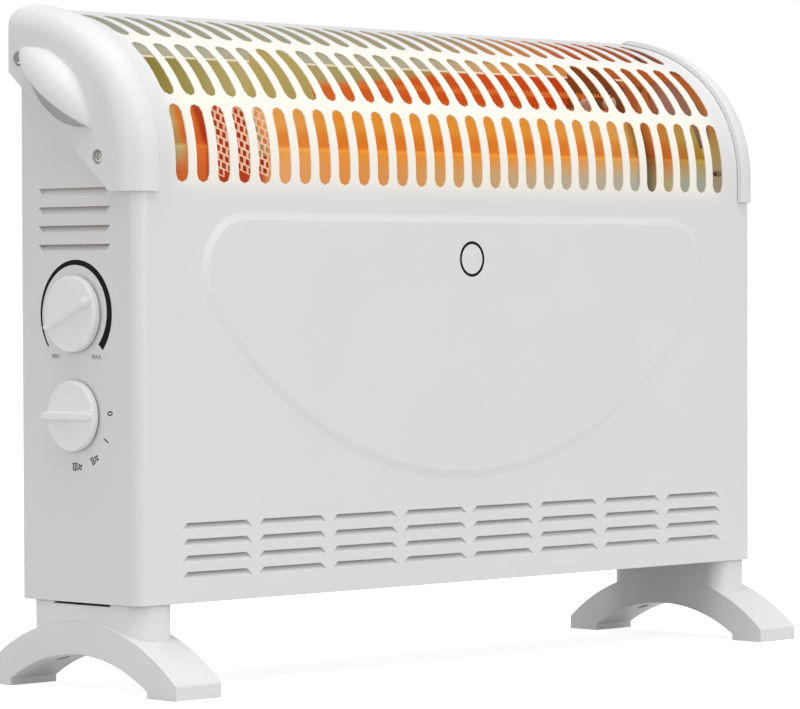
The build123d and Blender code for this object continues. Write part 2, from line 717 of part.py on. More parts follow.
def foot_upright(wall):
    """Upright of the left foot as a plain column, thinned by the wall."""
    width = FOOT_WIDTH - FOOT_UPRIGHT_INSET
    outline = Rectangle(width - 2 * wall, FOOT_UPRIGHT_LENGTH - 2 * wall)
    outline = fillet(outline.vertices(), FOOT_UPRIGHT_RADIUS - wall)
    middle = -FOOT_OUTER + FOOT_UPRIGHT_INSET + width / 2
    return Pos(middle, 0, 0) * extrude(outline, amount=BODY_BOTTOM)


def foot_arch():
    """Arched legs of the left foot, filled underneath."""
    tip_top = FOOT_TIP_HEIGHT
    wire = [
        Line((-FOOT_HALF_LENGTH, 0), (-FOOT_HALF_LENGTH, tip_top)),
        ThreePointArc((-FOOT_HALF_LENGTH, tip_top), (0, FOOT_ARCH_TOP), (FOOT_HALF_LENGTH, tip_top)),
        Line((FOOT_HALF_LENGTH, tip_top), (FOOT_HALF_LENGTH, 0)),
        Line((FOOT_HALF_LENGTH, 0), (-FOOT_HALF_LENGTH, 0)),
    ]
    arch = Pos(-FOOT_OUTER, 0, 0) * extrude(Plane.YZ * make_face(Wire(wire)), amount=FOOT_WIDTH)
    tips = [e for e in arch.edges().filter_by(Axis.X) if abs(e.center().Z - tip_top) < 0.01]
    return fillet(tips, FOOT_TIP_ROUNDING)


def under_foot(extra):
    """Space below the arch, made larger by the extra."""
    radius = FOOT_HOLLOW_RADIUS + extra
    centre = FOOT_HOLLOW_TOP - FOOT_HOLLOW_RADIUS
    half = FOOT_HALF_GAP + extra
    step_top = centre + sqrt(radius ** 2 - half ** 2)
    wire = [
        Line((half, -1), (half, step_top)),
        ThreePointArc((half, step_top), (0, centre + radius), (-half, step_top)),
        Line((-half, step_top), (-half, -1)),
        Line((-half, -1), (half, -1)),
    ]
    return Pos(-FOOT_OUTER - 5, 0, 0) * extrude(Plane.YZ * make_face(Wire(wire)), amount=FOOT_WIDTH + 10)


def left_foot():
    """Arched foot with a rounded upright, hollow from above, with two screw posts."""
    upright = foot_upright(0)
    middle = FOOT_UPRIGHT_LENGTH / 2 - FOOT_PAD_LENGTH
    upright -= block(-FOOT_OUTER - 5, 0, -middle, middle, BODY_BOTTOM - FOOT_TOP_GAP, BODY_BOTTOM + 1)
    foot = foot_arch() + upright
    foot -= under_foot(0)
    hollow = foot_upright(FOOT_WALL) - under_foot(FOOT_WALL)
    for y in (-FOOT_SCREW_Y, FOOT_SCREW_Y):
        hollow -= Pos(-foot_centre_x(), y, BODY_BOTTOM / 2) * Cylinder(FOOT_BOSS_RADIUS, 2 * BODY_BOTTOM)
    foot -= hollow
    for y in (-FOOT_SCREW_Y, FOOT_SCREW_Y):
        foot -= Pos(-foot_centre_x(), y, 0) * Cylinder(FOOT_RECESS_DIAMETER / 2, 2 * FOOT_SCREW_SEAT)
        foot -= Pos(-foot_centre_x(), y, BODY_BOTTOM) * screw_hole(2 * BODY_BOTTOM)
    return foot


def foot_screws():
    """Two screws in each foot, driven from below."""
    length = BODY_BOTTOM - FOOT_SCREW_SEAT + SCREW_GRIP
    screws = []
    for side in (-1, 1):
        for y in (-FOOT_SCREW_Y, FOOT_SCREW_Y):
            place = Pos(side * foot_centre_x(), y, FOOT_SCREW_SEAT) * Rot(180, 0, 0)
            screws.append(place * screw(length))
    return Compound(children=screws)


def knob(diameter, z, rest):
    """Round knob with a finger bar that slopes down to its pointer end."""
    radius = diameter / 2
    face = KNOB_GAP + KNOB_THICKNESS
    disc = Pos(0, 0, KNOB_GAP) * extrude(Circle(radius), amount=KNOB_THICKNESS)
    disc = chamfer(disc.edges().sort_by(Axis.Z)[-1], KNOB_EDGE)
    disc -= Pos(0, 0, KNOB_GAP) * extrude(Circle(radius - KNOB_WALL), amount=KNOB_THICKNESS - KNOB_WALL)
    disc += Pos(0, 0, face - KNOB_HUB_DEPTH) * extrude(Circle(KNOB_HUB_DIAMETER / 2), amount=KNOB_HUB_DEPTH)
    reach = radius - KNOB_RIB_MARGIN
    tail = face + KNOB_RIB_HEIGHT
    side = Polyline(
        (-reach, face - KNOB_RIB_ROOT),
        (-reach, tail - KNOB_TAIL_BEVEL),
        (-reach + KNOB_TAIL_BEVEL, tail),
        (-reach + KNOB_TAIL_LENGTH, tail),
        (reach, face + KNOB_RIB_POINTER),
        (reach, face - KNOB_RIB_ROOT),
        close=True,
    )
    bar = extrude(Plane.XZ * make_face(side), amount=KNOB_RIB_WIDTH / 2, both=True)
    bar = bar & Pos(0, 0, face) * Cylinder(reach, 4 * KNOB_RIB_HEIGHT)
    bore_radius = SHAFT_DIAMETER / 2 + KNOB_PRESS_CLEARANCE
    bore = extrude(Circle(bore_radius), amount=face + SHAFT_ENGAGEMENT)
    bore &= block(-radius, radius, -radius, bore_radius - SHAFT_FLAT, 0, 2 * face + SHAFT_ENGAGEMENT)
    return knob_place(z, rest) * (disc + bar - bore)


def knob_place(z, rest):
    """Place of a knob's parts: local Z points out of the left side, local X points at the mark."""
    turn = radians(rest)
    return Location(Plane(
        origin=(-HALF_WIDTH, CONTROL_Y, z),
        x_dir=(0, -cos(turn), sin(turn)),
        z_dir=(-1, 0, 0),
    ))


def control_shaft(z, rest):
    """Flatted shaft from inside the control to the knob."""
    top = KNOB_GAP + KNOB_THICKNESS + SHAFT_ENGAGEMENT - SHAFT_END_GAP
    shaft = Pos(0, 0, -SHAFT_DEPTH) * extrude(Circle(SHAFT_DIAMETER / 2), amount=top + SHAFT_DEPTH)
    flat_side = SHAFT_DIAMETER / 2 - SHAFT_FLAT
    flat = block(-SHAFT_DIAMETER, SHAFT_DIAMETER, flat_side, SHAFT_DIAMETER,
                 NECK_LENGTH + SHAFT_END_GAP, 2 * top)
    return knob_place(z, rest) * (shaft - flat)


def control_place(z):
    """Place of a control's fixed parts, behind the side panel."""
    return Location(Plane(origin=(-HALF_WIDTH, CONTROL_Y, z), x_dir=(0, -1, 0), z_dir=(-1, 0, 0)))


def control_base(case_size):
    """Case of a control with its mounting plate and neck, bored for the shaft."""
    width, height, depth = case_size
    back = -SHEET
    plate_height = 2 * (CONTROL_SCREW_RADIUS + CONTROL_PLATE_MARGIN)
    plate = Pos(0, 0, back - CONTROL_PLATE / 2) * Box(CONTROL_PLATE_WIDTH, plate_height, CONTROL_PLATE)
    case = Pos(0, 0, back - CONTROL_PLATE - depth / 2) * Box(width, height, depth)
    neck = extrude(Circle(NECK_DIAMETER / 2), amount=SHEET + NECK_LENGTH + CONTROL_PLATE / 2)
    piece = plate + case + Pos(0, 0, back - CONTROL_PLATE / 2) * neck
    bore = extrude(Circle(SHAFT_DIAMETER / 2 + SHAFT_CLEARANCE), amount=-SHAFT_DEPTH - SHAFT_END_GAP)
    piece -= [bore, Pos(0, 0, -SHEET) * mirror(bore, about=Plane.XY)]
    for offset in (-CONTROL_SCREW_RADIUS, CONTROL_SCREW_RADIUS):
        piece -= Pos(0, offset, back) * screw_hole(2 * CONTROL_SCREW_LENGTH + 2 * CONTROL_PLATE)
    return piece


def blades(case_size, places, thickness_along_x):
    """Flat terminals behind a control's case."""
    back = -SHEET - CONTROL_PLATE - case_size[2]
    size = (BLADE_THICKNESS, BLADE_WIDTH) if thickness_along_x else (BLADE_WIDTH, BLADE_THICKNESS)
    return [Pos(x, y, back - BLADE_LENGTH / 2) * Box(*size, BLADE_LENGTH) for x, y in places]


def thermostat_body():
    """Bimetal thermostat with two blade terminals."""
    places = [(-BLADE_OFFSET, 0), (BLADE_OFFSET, 0)]
    piece = control_base(THERMOSTAT_CASE) + blades(THERMOSTAT_CASE, places, True)
    return control_place(THERMOSTAT_Z) * piece


def switch_body():
    """Rotary heat selector with four blade terminals."""
    y = BLADE_OFFSET / 2
    places = [(x, side * y) for x in (-BLADE_OFFSET, BLADE_OFFSET) for side in (-1, 1)]
    piece = control_base(SWITCH_CASE) + blades(SWITCH_CASE, places, False)
    return control_place(SWITCH_Z) * piece


def control_screws(z):
    """Two screws that hold a control, hidden under its knob."""
    screws = []
    for offset in (-CONTROL_SCREW_RADIUS, CONTROL_SCREW_RADIUS):
        place = control_place(z) * Pos(0, offset, 0)
        screws.append(place * screw(CONTROL_SCREW_LENGTH, CONTROL_SCREW_HEAD))
    return Compound(children=screws)


def front_heat_shield():
    """Folded sheet between the front panel and the heating chamber, with the fan's window."""
    outer = front_shield_line(FRONT_SHIELD_Y, FRONT_SHIELD_TOP)
    inner = [(y + SHIELD_SHEET, z) for y, z in reversed(outer)]
    section = make_face(Polyline(*outer, *inner, close=True))
    sheet = extrude(Plane.YZ * section, amount=SHIELD_HALF_WIDTH, both=True)
    half = GUARD_WIDTH / 2 - GUARD_MARGIN
    window = block(GUARD_X - half, GUARD_X + half, FRONT_SHIELD_Y - 1, 0,
                   GUARD_BOTTOM + GUARD_MARGIN, GUARD_TOP - GUARD_MARGIN)
    return sheet - window


def front_shield_line(y, top):
    """Corners of the front shield seen from the side: upright, a step, then leaning back to the top."""
    step_z = FRONT_SHIELD_FOLD + FRONT_SHIELD_STEP
    lean = radians(FRONT_SHIELD_LEAN)
    top_y = y + FRONT_SHIELD_STEP + (top - step_z) * sin(lean) / cos(lean)
    return [(y, SHIELD_BOTTOM), (y, FRONT_SHIELD_FOLD), (y + FRONT_SHIELD_STEP, step_z), (top_y, top)]


def rear_heat_shield():
    """Reflector behind the heating wires, with a bottom flange that meets the back."""
    y = REAR_SHIELD_Y
    x = SHIELD_HALF_WIDTH
    sheet = block(-x, x, y, y + SHIELD_SHEET, SHIELD_BOTTOM, REAR_SHIELD_TOP)
    inner_back = BACK - SHEET
    for z in (SHIELD_BOTTOM, REAR_SHIELD_TOP - REAR_SHIELD_FLANGE_DROP):
        sheet += block(-x, x, y, inner_back, z, z + SHIELD_SHEET)
    return sheet


def end_plate(x):
    """Upright plate between the shields that carries one end of the heating wires."""
    low_y = FRONT_SHIELD_Y + SHIELD_SHEET
    high_y = REAR_SHIELD_Y
    plate = block(x - PLATE_SHEET / 2, x + PLATE_SHEET / 2, low_y, high_y, PLATE_BOTTOM, PLATE_TOP)
    form = extrude(side_outline(PLATE_INSET, 0, BACK), amount=HALF_WIDTH, both=True)
    line = front_shield_line(low_y, PLATE_TOP)
    section = make_face(Polyline(*line, (FRONT, PLATE_TOP), (FRONT, SHIELD_BOTTOM), close=True))
    in_front = extrude(Plane.YZ * section, amount=HALF_WIDTH, both=True)
    return (plate & form) - in_front


def mica_board(plate_x, side):
    """Insulating board on the inner face of an end plate."""
    low_x = plate_x + side * PLATE_SHEET / 2
    high_x = low_x + side * MICA_THICKNESS
    top = WIRE_BOTTOM + (WIRE_RUNS - 1) * WIRE_PITCH + MICA_ABOVE
    middle = sum(WIRE_PLANES) / 2
    half = MICA_WIDTH / 2
    return block(min(low_x, high_x), max(low_x, high_x), middle - half, middle + half,
                 WIRE_BOTTOM - MICA_BELOW, top)


def wire_ends():
    """Where the straight runs of the wires end, left and right."""
    loop = WIRE_PITCH / 2
    left = LEFT_PLATE_X + PLATE_SHEET / 2 + MICA_THICKNESS + EDGE_GAP + loop + WIRE_SIZE / 2
    right = RIGHT_PLATE_X - PLATE_SHEET / 2 - MICA_THICKNESS - EDGE_GAP - loop - WIRE_SIZE / 2
    return left, right


def heating_wire(plane_y):
    """Resistance wire that runs to and fro between the end boards."""
    left, right = wire_ends()
    loop = WIRE_PITCH / 2
    piece = None
    for run in range(WIRE_RUNS):
        z = WIRE_BOTTOM + run * WIRE_PITCH
        low = left if run > 0 else left - loop - WIRE_SIZE / 2
        high = right
        length = high - low
        bar = Pos((low + high) / 2, plane_y, z) * Box(length, WIRE_SIZE, WIRE_SIZE)
        piece = bar if piece is None else piece + bar
        if run < WIRE_RUNS - 1:
            on_right = run % 2 == 0
            x = right if on_right else left
            ring = Cylinder(loop + WIRE_SIZE / 2, WIRE_SIZE) - Cylinder(loop - WIRE_SIZE / 2, WIRE_SIZE)
            ring = Pos(x, plane_y, z + loop) * Rot(90, 0, 0) * ring
            half = block(x, x + 50, -80, 80, 0, 600) if on_right else block(x - 50, x, -80, 80, 0, 600)
            piece += ring & half
    return piece


def ceramic_pegs():
    """Insulating pegs that the wire's loops hook round, each with a pin to its end board."""
    left, right = wire_ends()
    loop = WIRE_PITCH / 2
    radius = loop - WIRE_SIZE / 2 - PEG_GAP
    pegs = []
    for plane_y in WIRE_PLANES:
        for run in range(WIRE_RUNS - 1):
            on_right = run % 2 == 0
            x = right if on_right else left
            z = WIRE_BOTTOM + (run + 0.5) * WIRE_PITCH
            pegs.append(peg(x, plane_y, z, radius, 1 if on_right else -1))
    return Compound(children=pegs)


def peg(x, y, z, radius, side):
    """Peg inside a wire loop, with an arm that reaches its end board."""
    spool = extrude(RegularPolygon(radius, PEG_FACES), amount=PEG_LENGTH / 2, both=True)
    spool = Pos(x, y, z) * Rot(90, 0, 0) * spool
    if side > 0:
        board = RIGHT_PLATE_X - PLATE_SHEET / 2 - MICA_THICKNESS
    else:
        board = LEFT_PLATE_X + PLATE_SHEET / 2 + MICA_THICKNESS
    arm_y = y + WIRE_SIZE / 2 + PEG_GAP
    arm = block(min(x, board), max(x, board), arm_y, y + PEG_LENGTH / 2, z - PEG_PIN, z + PEG_PIN)
    return spool + arm


def control_shield():
    """Wall between the controls and the hot chamber."""
    low_y = FRONT_SHIELD_Y + SHIELD_SHEET
    x = CONTROL_SHIELD_X
    return block(x, x + SHIELD_SHEET, low_y, REAR_SHIELD_Y,
                 SHIELD_BOTTOM + CONTROL_SHIELD_LIFT, CONTROL_SHIELD_TOP)


def terminal_block():
    """Ceramic terminal block on the control shield, with a row of wire holes."""
    x = CONTROL_SHIELD_X
    half = TERMINAL_LENGTH / 2
    body = block(x - TERMINAL_DEPTH, x, -half, half, TERMINAL_BOTTOM, TERMINAL_BOTTOM + TERMINAL_HEIGHT)
    plane = Plane(origin=(x - TERMINAL_DEPTH / 2, 0, TERMINAL_BOTTOM), x_dir=(0, 1, 0), z_dir=(0, 0, 1))
    places = GridLocations(TERMINAL_HOLE_PITCH, 1, TERMINAL_HOLES, 1)
    hole = RegularPolygon(TERMINAL_HOLE_DIAMETER / 2, SCREW_SHANK_FACES)
    return body - pattern_cutter(plane, places, hole, 2 * TERMINAL_HEIGHT)


def thermal_cutout():
    """Round limiter on the right end plate."""
    place = Pos(RIGHT_PLATE_X + PLATE_SHEET / 2, CUTOUT_Y, CUTOUT_Z) * Rot(0, 90, 0)
    plate_top = CUTOUT_PLATE[2]
    body = Pos(0, 0, plate_top / 2) * Box(*CUTOUT_PLATE)
    body += Pos(0, 0, plate_top) * extrude(Circle(CUTOUT_DIAMETER / 2), amount=CUTOUT_DEPTH)
    blade_z = plate_top + CUTOUT_DEPTH + BLADE_LENGTH / 2
    for y in (-CUTOUT_BLADE_OFFSET, CUTOUT_BLADE_OFFSET):
        body += Pos(0, y, blade_z) * Box(BLADE_WIDTH, BLADE_THICKNESS, BLADE_LENGTH)
    return place * body


def fan_case_outline(wall, top):
    """Round-bottomed outline of the fan's case, moved inward by the wall."""
    half = FAN_CASE_HALF_WIDTH - wall
    upper = Pos(FAN_X, (FAN_Z + top) / 2) * Rectangle(2 * half, top - FAN_Z)
    return upper + Pos(FAN_X, FAN_Z) * Circle(half)


def fan_case():
    """Scroll of the turbo fan: round inlet in front, open at the top, legs to the reflector."""
    wall = FAN_CASE_WALL
    low_y, high_y = FAN_FRONT - wall, FAN_BACK + wall
    outer_plane = Plane(origin=(0, low_y, 0), x_dir=(1, 0, 0), z_dir=(0, -1, 0))
    inner_plane = Plane(origin=(0, FAN_FRONT, 0), x_dir=(1, 0, 0), z_dir=(0, -1, 0))
    case = extrude(outer_plane * fan_case_outline(0, FAN_CASE_TOP), amount=low_y - high_y)
    case -= extrude(inner_plane * fan_case_outline(wall, FAN_CASE_TOP + 5), amount=FAN_FRONT - FAN_BACK)
    case -= Pos(FAN_X, low_y, FAN_Z) * Rot(90, 0, 0) * Cylinder(FAN_INLET_DIAMETER / 2, 6)
    shaft_hole = FAN_SHAFT_DIAMETER / 2 + FAN_SHAFT_HOLE_GAP
    case -= Pos(FAN_X, high_y, FAN_Z) * Rot(90, 0, 0) * Cylinder(shaft_hole, 6)
    half_leg = FAN_LEG_HEIGHT / 2
    for side in (-1, 1):
        leg_x = FAN_X + side * (FAN_CASE_HALF_WIDTH - wall / 2)
        case += block(leg_x - wall / 2, leg_x + wall / 2, high_y - wall, REAR_SHIELD_Y,
                      FAN_Z - half_leg, FAN_Z + half_leg)
    return case


def fan_guard():
    """Expanded-metal guard in front of the fan's window in the front shield."""
    height = GUARD_TOP - GUARD_BOTTOM
    cell_x, cell_z = GUARD_WIDTH / GUARD_COLUMNS, height / GUARD_ROWS
    hole = Rectangle(cell_x - GUARD_STRAND, cell_z - GUARD_STRAND)
    outline = Rectangle(GUARD_WIDTH, height)
    for row in range(GUARD_ROWS):
        z = -height / 2 + cell_z * (row + 0.5)
        outline -= Pos(0, z) * GridLocations(cell_x, 1, GUARD_COLUMNS - row % 2, 1) * hole
    middle = (GUARD_X, FRONT_SHIELD_Y, GUARD_BOTTOM + height / 2)
    plane = Plane(origin=middle, x_dir=(1, 0, 0), z_dir=(0, -1, 0))
    return extrude(plane * outline, amount=GUARD_THICKNESS)


def fan_motor():
    """Shaded-pole motor behind the scroll: bracket, core and coil."""
    width, thickness, height = MOTOR_BRACKET
    y = FAN_BACK + FAN_CASE_WALL
    core_y = y + thickness
    motor = block(FAN_X - width / 2, FAN_X + width / 2, y, core_y, FAN_Z - height / 2, FAN_Z + height / 2)
    motor += block(FAN_X - MOTOR_WIDTH / 2, FAN_X + MOTOR_WIDTH / 2, core_y, core_y + MOTOR_CORE_DEPTH,
                   FAN_Z - MOTOR_LOW, FAN_Z - MOTOR_LOW + MOTOR_HEIGHT)
    half_coil = MOTOR_COIL_WIDTH / 2
    motor += block(FAN_X - half_coil, FAN_X + half_coil, core_y, core_y + MOTOR_COIL_DEPTH,
                   FAN_Z + MOTOR_COIL_LOW, FAN_Z + MOTOR_COIL_LOW + MOTOR_COIL_HEIGHT)
    bore = Cylinder(FAN_SHAFT_DIAMETER / 2 + SHAFT_CLEARANCE, 4 * MOTOR_COIL_DEPTH)
    return motor - Pos(FAN_X, core_y, FAN_Z) * Rot(90, 0, 0) * bore


def fan_shaft():
    """Motor shaft that carries the impeller."""
    hub_end = FAN_BACK - FAN_RUNNING_GAP - FAN_HUB_LENGTH
    core_back = FAN_BACK + FAN_CASE_WALL + MOTOR_BRACKET[1] + MOTOR_CORE_DEPTH
    length = core_back - hub_end
    return Pos(FAN_X, hub_end + length / 2, FAN_Z) * Rot(90, 0, 0) * Cylinder(FAN_SHAFT_DIAMETER / 2, length)


def fan_impeller():
    """Forward-curved impeller: back disc, ring, hub and blades."""
    radius = FAN_IMPELLER_DIAMETER / 2
    depth = FAN_IMPELLER_DEPTH
    wheel = extrude(Circle(radius), amount=FAN_DISC)
    wheel += extrude(Circle(FAN_HUB_DIAMETER / 2), amount=FAN_HUB_LENGTH)
    wheel += Pos(0, 0, depth) * extrude(Circle(radius) - Circle(radius - FAN_RING_WIDTH), amount=-FAN_DISC)
    blade_radius = radius - FAN_BLADE_DEPTH / 2 - FAN_BLADE_THICKNESS
    blade_box = Box(FAN_BLADE_DEPTH, FAN_BLADE_THICKNESS, depth - FAN_DISC)
    blade = Pos(blade_radius, 0, depth / 2) * Rot(0, 0, FAN_BLADE_TURN) * blade_box
    wheel += [Rot(0, 0, 360.0 * number / FAN_BLADES) * blade for number in range(FAN_BLADES)]
    bore = Cylinder(FAN_SHAFT_DIAMETER / 2 + KNOB_PRESS_CLEARANCE, 3 * depth)
    return Pos(FAN_X, FAN_BACK - FAN_RUNNING_GAP, FAN_Z) * Rot(90, 0, 0) * (wheel - bore)


def main():
    os.makedirs("parts", exist_ok=True)
    cap = left_end_cap()
    foot = left_foot()
    pieces = {
        "front_housing": front_housing(),
        "rear_panel": rear_panel(),
        "rear_panel_screws": rear_panel_screws(),
        "cord_gland": cord_gland(),
        "left_end_cap": cap,
        "right_end_cap": mirrored(cap),
        "end_cap_screws": end_cap_screws(),
        "left_foot": foot,
        "right_foot": mirrored(foot),
        "foot_screws": foot_screws(),
        "thermostat_knob": knob(THERMOSTAT_KNOB_DIAMETER, THERMOSTAT_Z, THERMOSTAT_REST),
        "thermostat_shaft": control_shaft(THERMOSTAT_Z, THERMOSTAT_REST),
        "thermostat_body": thermostat_body(),
        "thermostat_screws": control_screws(THERMOSTAT_Z),
        "switch_knob": knob(SWITCH_KNOB_DIAMETER, SWITCH_Z, 0.0),
        "switch_shaft": control_shaft(SWITCH_Z, 0.0),
        "switch_body": switch_body(),
        "switch_screws": control_screws(SWITCH_Z),
        "front_heat_shield": front_heat_shield(),
        "rear_heat_shield": rear_heat_shield(),
        "control_shield": control_shield(),
        "terminal_block": terminal_block(),
        "left_element_plate": end_plate(LEFT_PLATE_X),
        "right_element_plate": end_plate(RIGHT_PLATE_X),
        "left_mica_board": mica_board(LEFT_PLATE_X, 1),
        "right_mica_board": mica_board(RIGHT_PLATE_X, -1),
        "front_heating_wire": heating_wire(WIRE_PLANES[0]),
        "rear_heating_wire": heating_wire(WIRE_PLANES[1]),
        "ceramic_pegs": ceramic_pegs(),
        "thermal_cutout": thermal_cutout(),
        "fan_case": fan_case(),
        "fan_guard": fan_guard(),
        "fan_motor": fan_motor(),
        "fan_shaft": fan_shaft(),
        "fan_impeller": fan_impeller(),
    }
    for node, shape in pieces.items():
        export(shape, node)


main()
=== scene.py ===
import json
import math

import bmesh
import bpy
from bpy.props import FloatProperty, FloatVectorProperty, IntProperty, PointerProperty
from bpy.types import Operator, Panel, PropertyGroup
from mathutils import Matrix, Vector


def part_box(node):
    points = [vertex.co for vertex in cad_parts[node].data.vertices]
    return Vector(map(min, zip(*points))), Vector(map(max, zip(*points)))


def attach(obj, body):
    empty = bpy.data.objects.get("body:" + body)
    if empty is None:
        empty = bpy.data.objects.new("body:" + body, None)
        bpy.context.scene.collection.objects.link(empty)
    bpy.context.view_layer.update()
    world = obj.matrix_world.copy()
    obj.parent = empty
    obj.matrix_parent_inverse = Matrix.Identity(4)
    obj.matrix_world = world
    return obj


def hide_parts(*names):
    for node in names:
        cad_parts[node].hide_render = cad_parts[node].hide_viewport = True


bl_info = {
    "name": "Convector heater",
    "version": (1, 0, 0),
    "blender": (4, 5, 0),
    "location": "View3D > Sidebar > Heater",
    "description": "Finishes, printed marks, knobs, screws, heating wires and stage of a convector heater",
    "category": "Object",
}

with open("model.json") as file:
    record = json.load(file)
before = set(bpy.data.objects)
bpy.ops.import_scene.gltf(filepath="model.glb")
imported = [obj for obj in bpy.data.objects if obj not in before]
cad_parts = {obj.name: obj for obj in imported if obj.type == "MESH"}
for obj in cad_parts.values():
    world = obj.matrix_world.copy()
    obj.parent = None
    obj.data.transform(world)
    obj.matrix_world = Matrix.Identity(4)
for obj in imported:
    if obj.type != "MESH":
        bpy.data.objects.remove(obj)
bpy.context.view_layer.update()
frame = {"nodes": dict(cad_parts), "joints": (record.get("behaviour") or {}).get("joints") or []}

MM = 0.001
HOUSING_LOW, HOUSING_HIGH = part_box("front_housing")
SIDE_X = HOUSING_LOW.x
OUTWARD = Vector((-1.0, 0.0, 0.0))
GRIP_CENTRE = (14.1 * MM, 375.6 * MM)
GRIP_TILT = math.radians(38.2)
GRIP_HALF_LENGTH = 43.0 * MM
GRIP_RADIUS = 18.0 * MM
GRIP_WALL = 2.2 * MM
GRIP_FACE = 6.0 * MM
GRIP_SLACK = 0.03 * MM
# Painted shade: near-black colour of the inner sheets' backs and lower parts, for the dark inside of the
# housing.
SHADE_DARK_SHEET = (0.06, 0.058, 0.055)
GLOW_LOW = 0.255
GLOW_FADE = 0.03
GRILLE_FOOT = (0.250, 0.268)
GRILLE_END = (0.270, 0.245)
GRILLE_TOP = (0.004, 0.030)
RIGHT_WALL = (0.28, 0.29)
BACK_WALL = (0.040, 0.045)
WALL_RISE = (0.30, 0.42)
BAR_SHARE = 0.16
INNER_GLOW = 0.60
SHIELD_FOOT = 0.300
THERMOSTAT_REST = math.radians(202.0)
SCREW_FACINGS = {
    "end_cap_screws": None,
    "thermostat_screws": OUTWARD,
    "switch_screws": OUTWARD,
    "rear_panel_screws": Vector((0.0, 1.0, 0.0)),
    "foot_screws": Vector((0.0, 0.0, -1.0)),
}


def joint_centre(name):
    """Point that a joint turns about, in metres."""
    for joint in frame["joints"]:
        if joint["name"] == name:
            return Vector(joint["pos_m"])
    raise RuntimeError("no joint is named " + name)


THERMOSTAT = joint_centre("thermostat_turn")
SELECTOR = joint_centre("selector_turn")


def colour_property(name, description, default):
    """Colour setting for the sidebar."""
    return FloatVectorProperty(name=name, description=description, subtype="COLOR", size=3,
                               min=0.0, max=1.0, default=default)


def length_property(name, description, default):
    """Length setting for the sidebar, in metres."""
    return FloatProperty(name=name, description=description, subtype="DISTANCE", unit="LENGTH",
                         min=0.0, default=default, precision=5)


class HeaterFinishSettings(PropertyGroup):
    """Colours and roughness of the heater's surfaces."""

    enamel: colour_property("Enamel", "Powder coat of the sheet metal", (0.80, 0.80, 0.80))
    # Painted light: the heater's warm glow on the grille bars, put into their enamel colour.
    painted_bar_glow: colour_property("Warm bars", "Enamel of the bars in the heater's glow", (0.90, 0.86, 0.78))
    # Painted shade: this dark colour goes on the louvres' undersides for the shadow in their mouths.
    painted_louvre_shade: colour_property("Bare metal", "Thinly coated metal inside the louvres", (0.07, 0.07, 0.07))
    moulding: colour_property("Moulding", "Plastic of the end caps and the feet", (0.82, 0.82, 0.82))
    knob: colour_property("Knob", "Plastic of the two knobs", (0.92, 0.92, 0.92))
    print_ink: colour_property("Print", "Ink of the scales", (0.008, 0.008, 0.008))
    word_ink: colour_property("Words", "Ink of the small words", (0.12, 0.12, 0.12))
    zinc: colour_property("Zinc", "Plating of the screws", (0.55, 0.54, 0.52))
    # Painted shade: this near-black colour stands for the shade inside the housing, on the control shield
    # behind the louvres.
    sheet: colour_property("Inner sheet", "Dull sheet of the inner parts", (0.06, 0.058, 0.055))
    ceramic: colour_property("Ceramic", "Pegs and terminal block", (0.80, 0.76, 0.68))
    case: colour_property("Cases", "Dark cases of the controls", (0.02, 0.02, 0.022))
    rim: length_property("Softened rim", "Radius that softens the sharp rims", 0.6 * MM)
    enamel_roughness: FloatProperty(name="Enamel roughness", description="Roughness of the powder coat",
                                    subtype="FACTOR", min=0.0, max=1.0, default=0.34)
    moulding_roughness: FloatProperty(name="Moulding roughness", description="Roughness of the mouldings",
                                      subtype="FACTOR", min=0.0, max=1.0, default=0.42)


class HeaterGlowSettings(PropertyGroup):
    """Glow of the heating chamber."""

    # Painted light: the inner sheets are given emission for the wires' light on them.
    strength: FloatProperty(name="Sheet glow", description="Light given by the hot inner sheets",
                            min=0.0, max=5.0, default=0.68)
    wire_strength: FloatProperty(name="Wire glow", description="Light given by the heating wires",
                                 min=0.0, max=30.0, default=0.75)
    wire_colour: colour_property("Wire colour", "Colour of the glowing wire", (0.95, 0.22, 0.03))
    wire_radius: length_property("Wire", "Radius of the resistance wire", 0.45 * MM)
    coil_radius: length_property("Coil", "Radius of the wire's coil", 1.0 * MM)
    coil_pitch: length_property("Coil pitch", "Distance between the turns of the coil", 3.2 * MM)
    runs: IntProperty(name="Runs", description="Straight runs of each wire", min=1, default=6)


class HeaterPrintSettings(PropertyGroup):
    """Scales printed on the side and the ring on the front."""

    ink: length_property("Ink thickness", "How far the print stands off the panel", 0.06 * MM)
    crescent_radius: length_property("Crescent radius", "Outer radius of the crescent", 33.6 * MM)
    crescent_thin: length_property("Crescent start", "Width of the crescent at its cool end", 1.1 * MM)
    crescent_thick: length_property("Crescent end", "Width of the crescent at its hot end", 5.4 * MM)
    word_height: length_property("Word height", "Height of the words at the crescent's ends", 2.9 * MM)
    word_radius: length_property("Word radius", "Distance of the words from the shaft", 33.1 * MM)
    mark_radius: length_property("Mark radius", "Distance of the selector's marks from the shaft", 31.6 * MM)
    mark_height: length_property("Mark height", "Height of the selector's marks", 4.8 * MM)
    ring_radius: length_property("Ring radius", "Outer radius of the ring on the front", 11.8 * MM)
    ring_width: length_property("Ring width", "Line width of the ring on the front", 1.9 * MM)
    ring_height: length_property("Ring height", "Height of the ring's centre above the floor", 269.5 * MM)


class HeaterFastenerSettings(PropertyGroup):
    """Cross-recess screws."""

    recess_span: length_property("Recess span", "Length of the cross recess", 4.4 * MM)
    recess_width: length_property("Recess width", "Width of the cross recess", 1.0 * MM)
    recess_depth: length_property("Recess depth", "Depth of the cross recess", 1.1 * MM)
    sides: IntProperty(name="Sides", description="Steps round a screw's head", min=12, default=32)


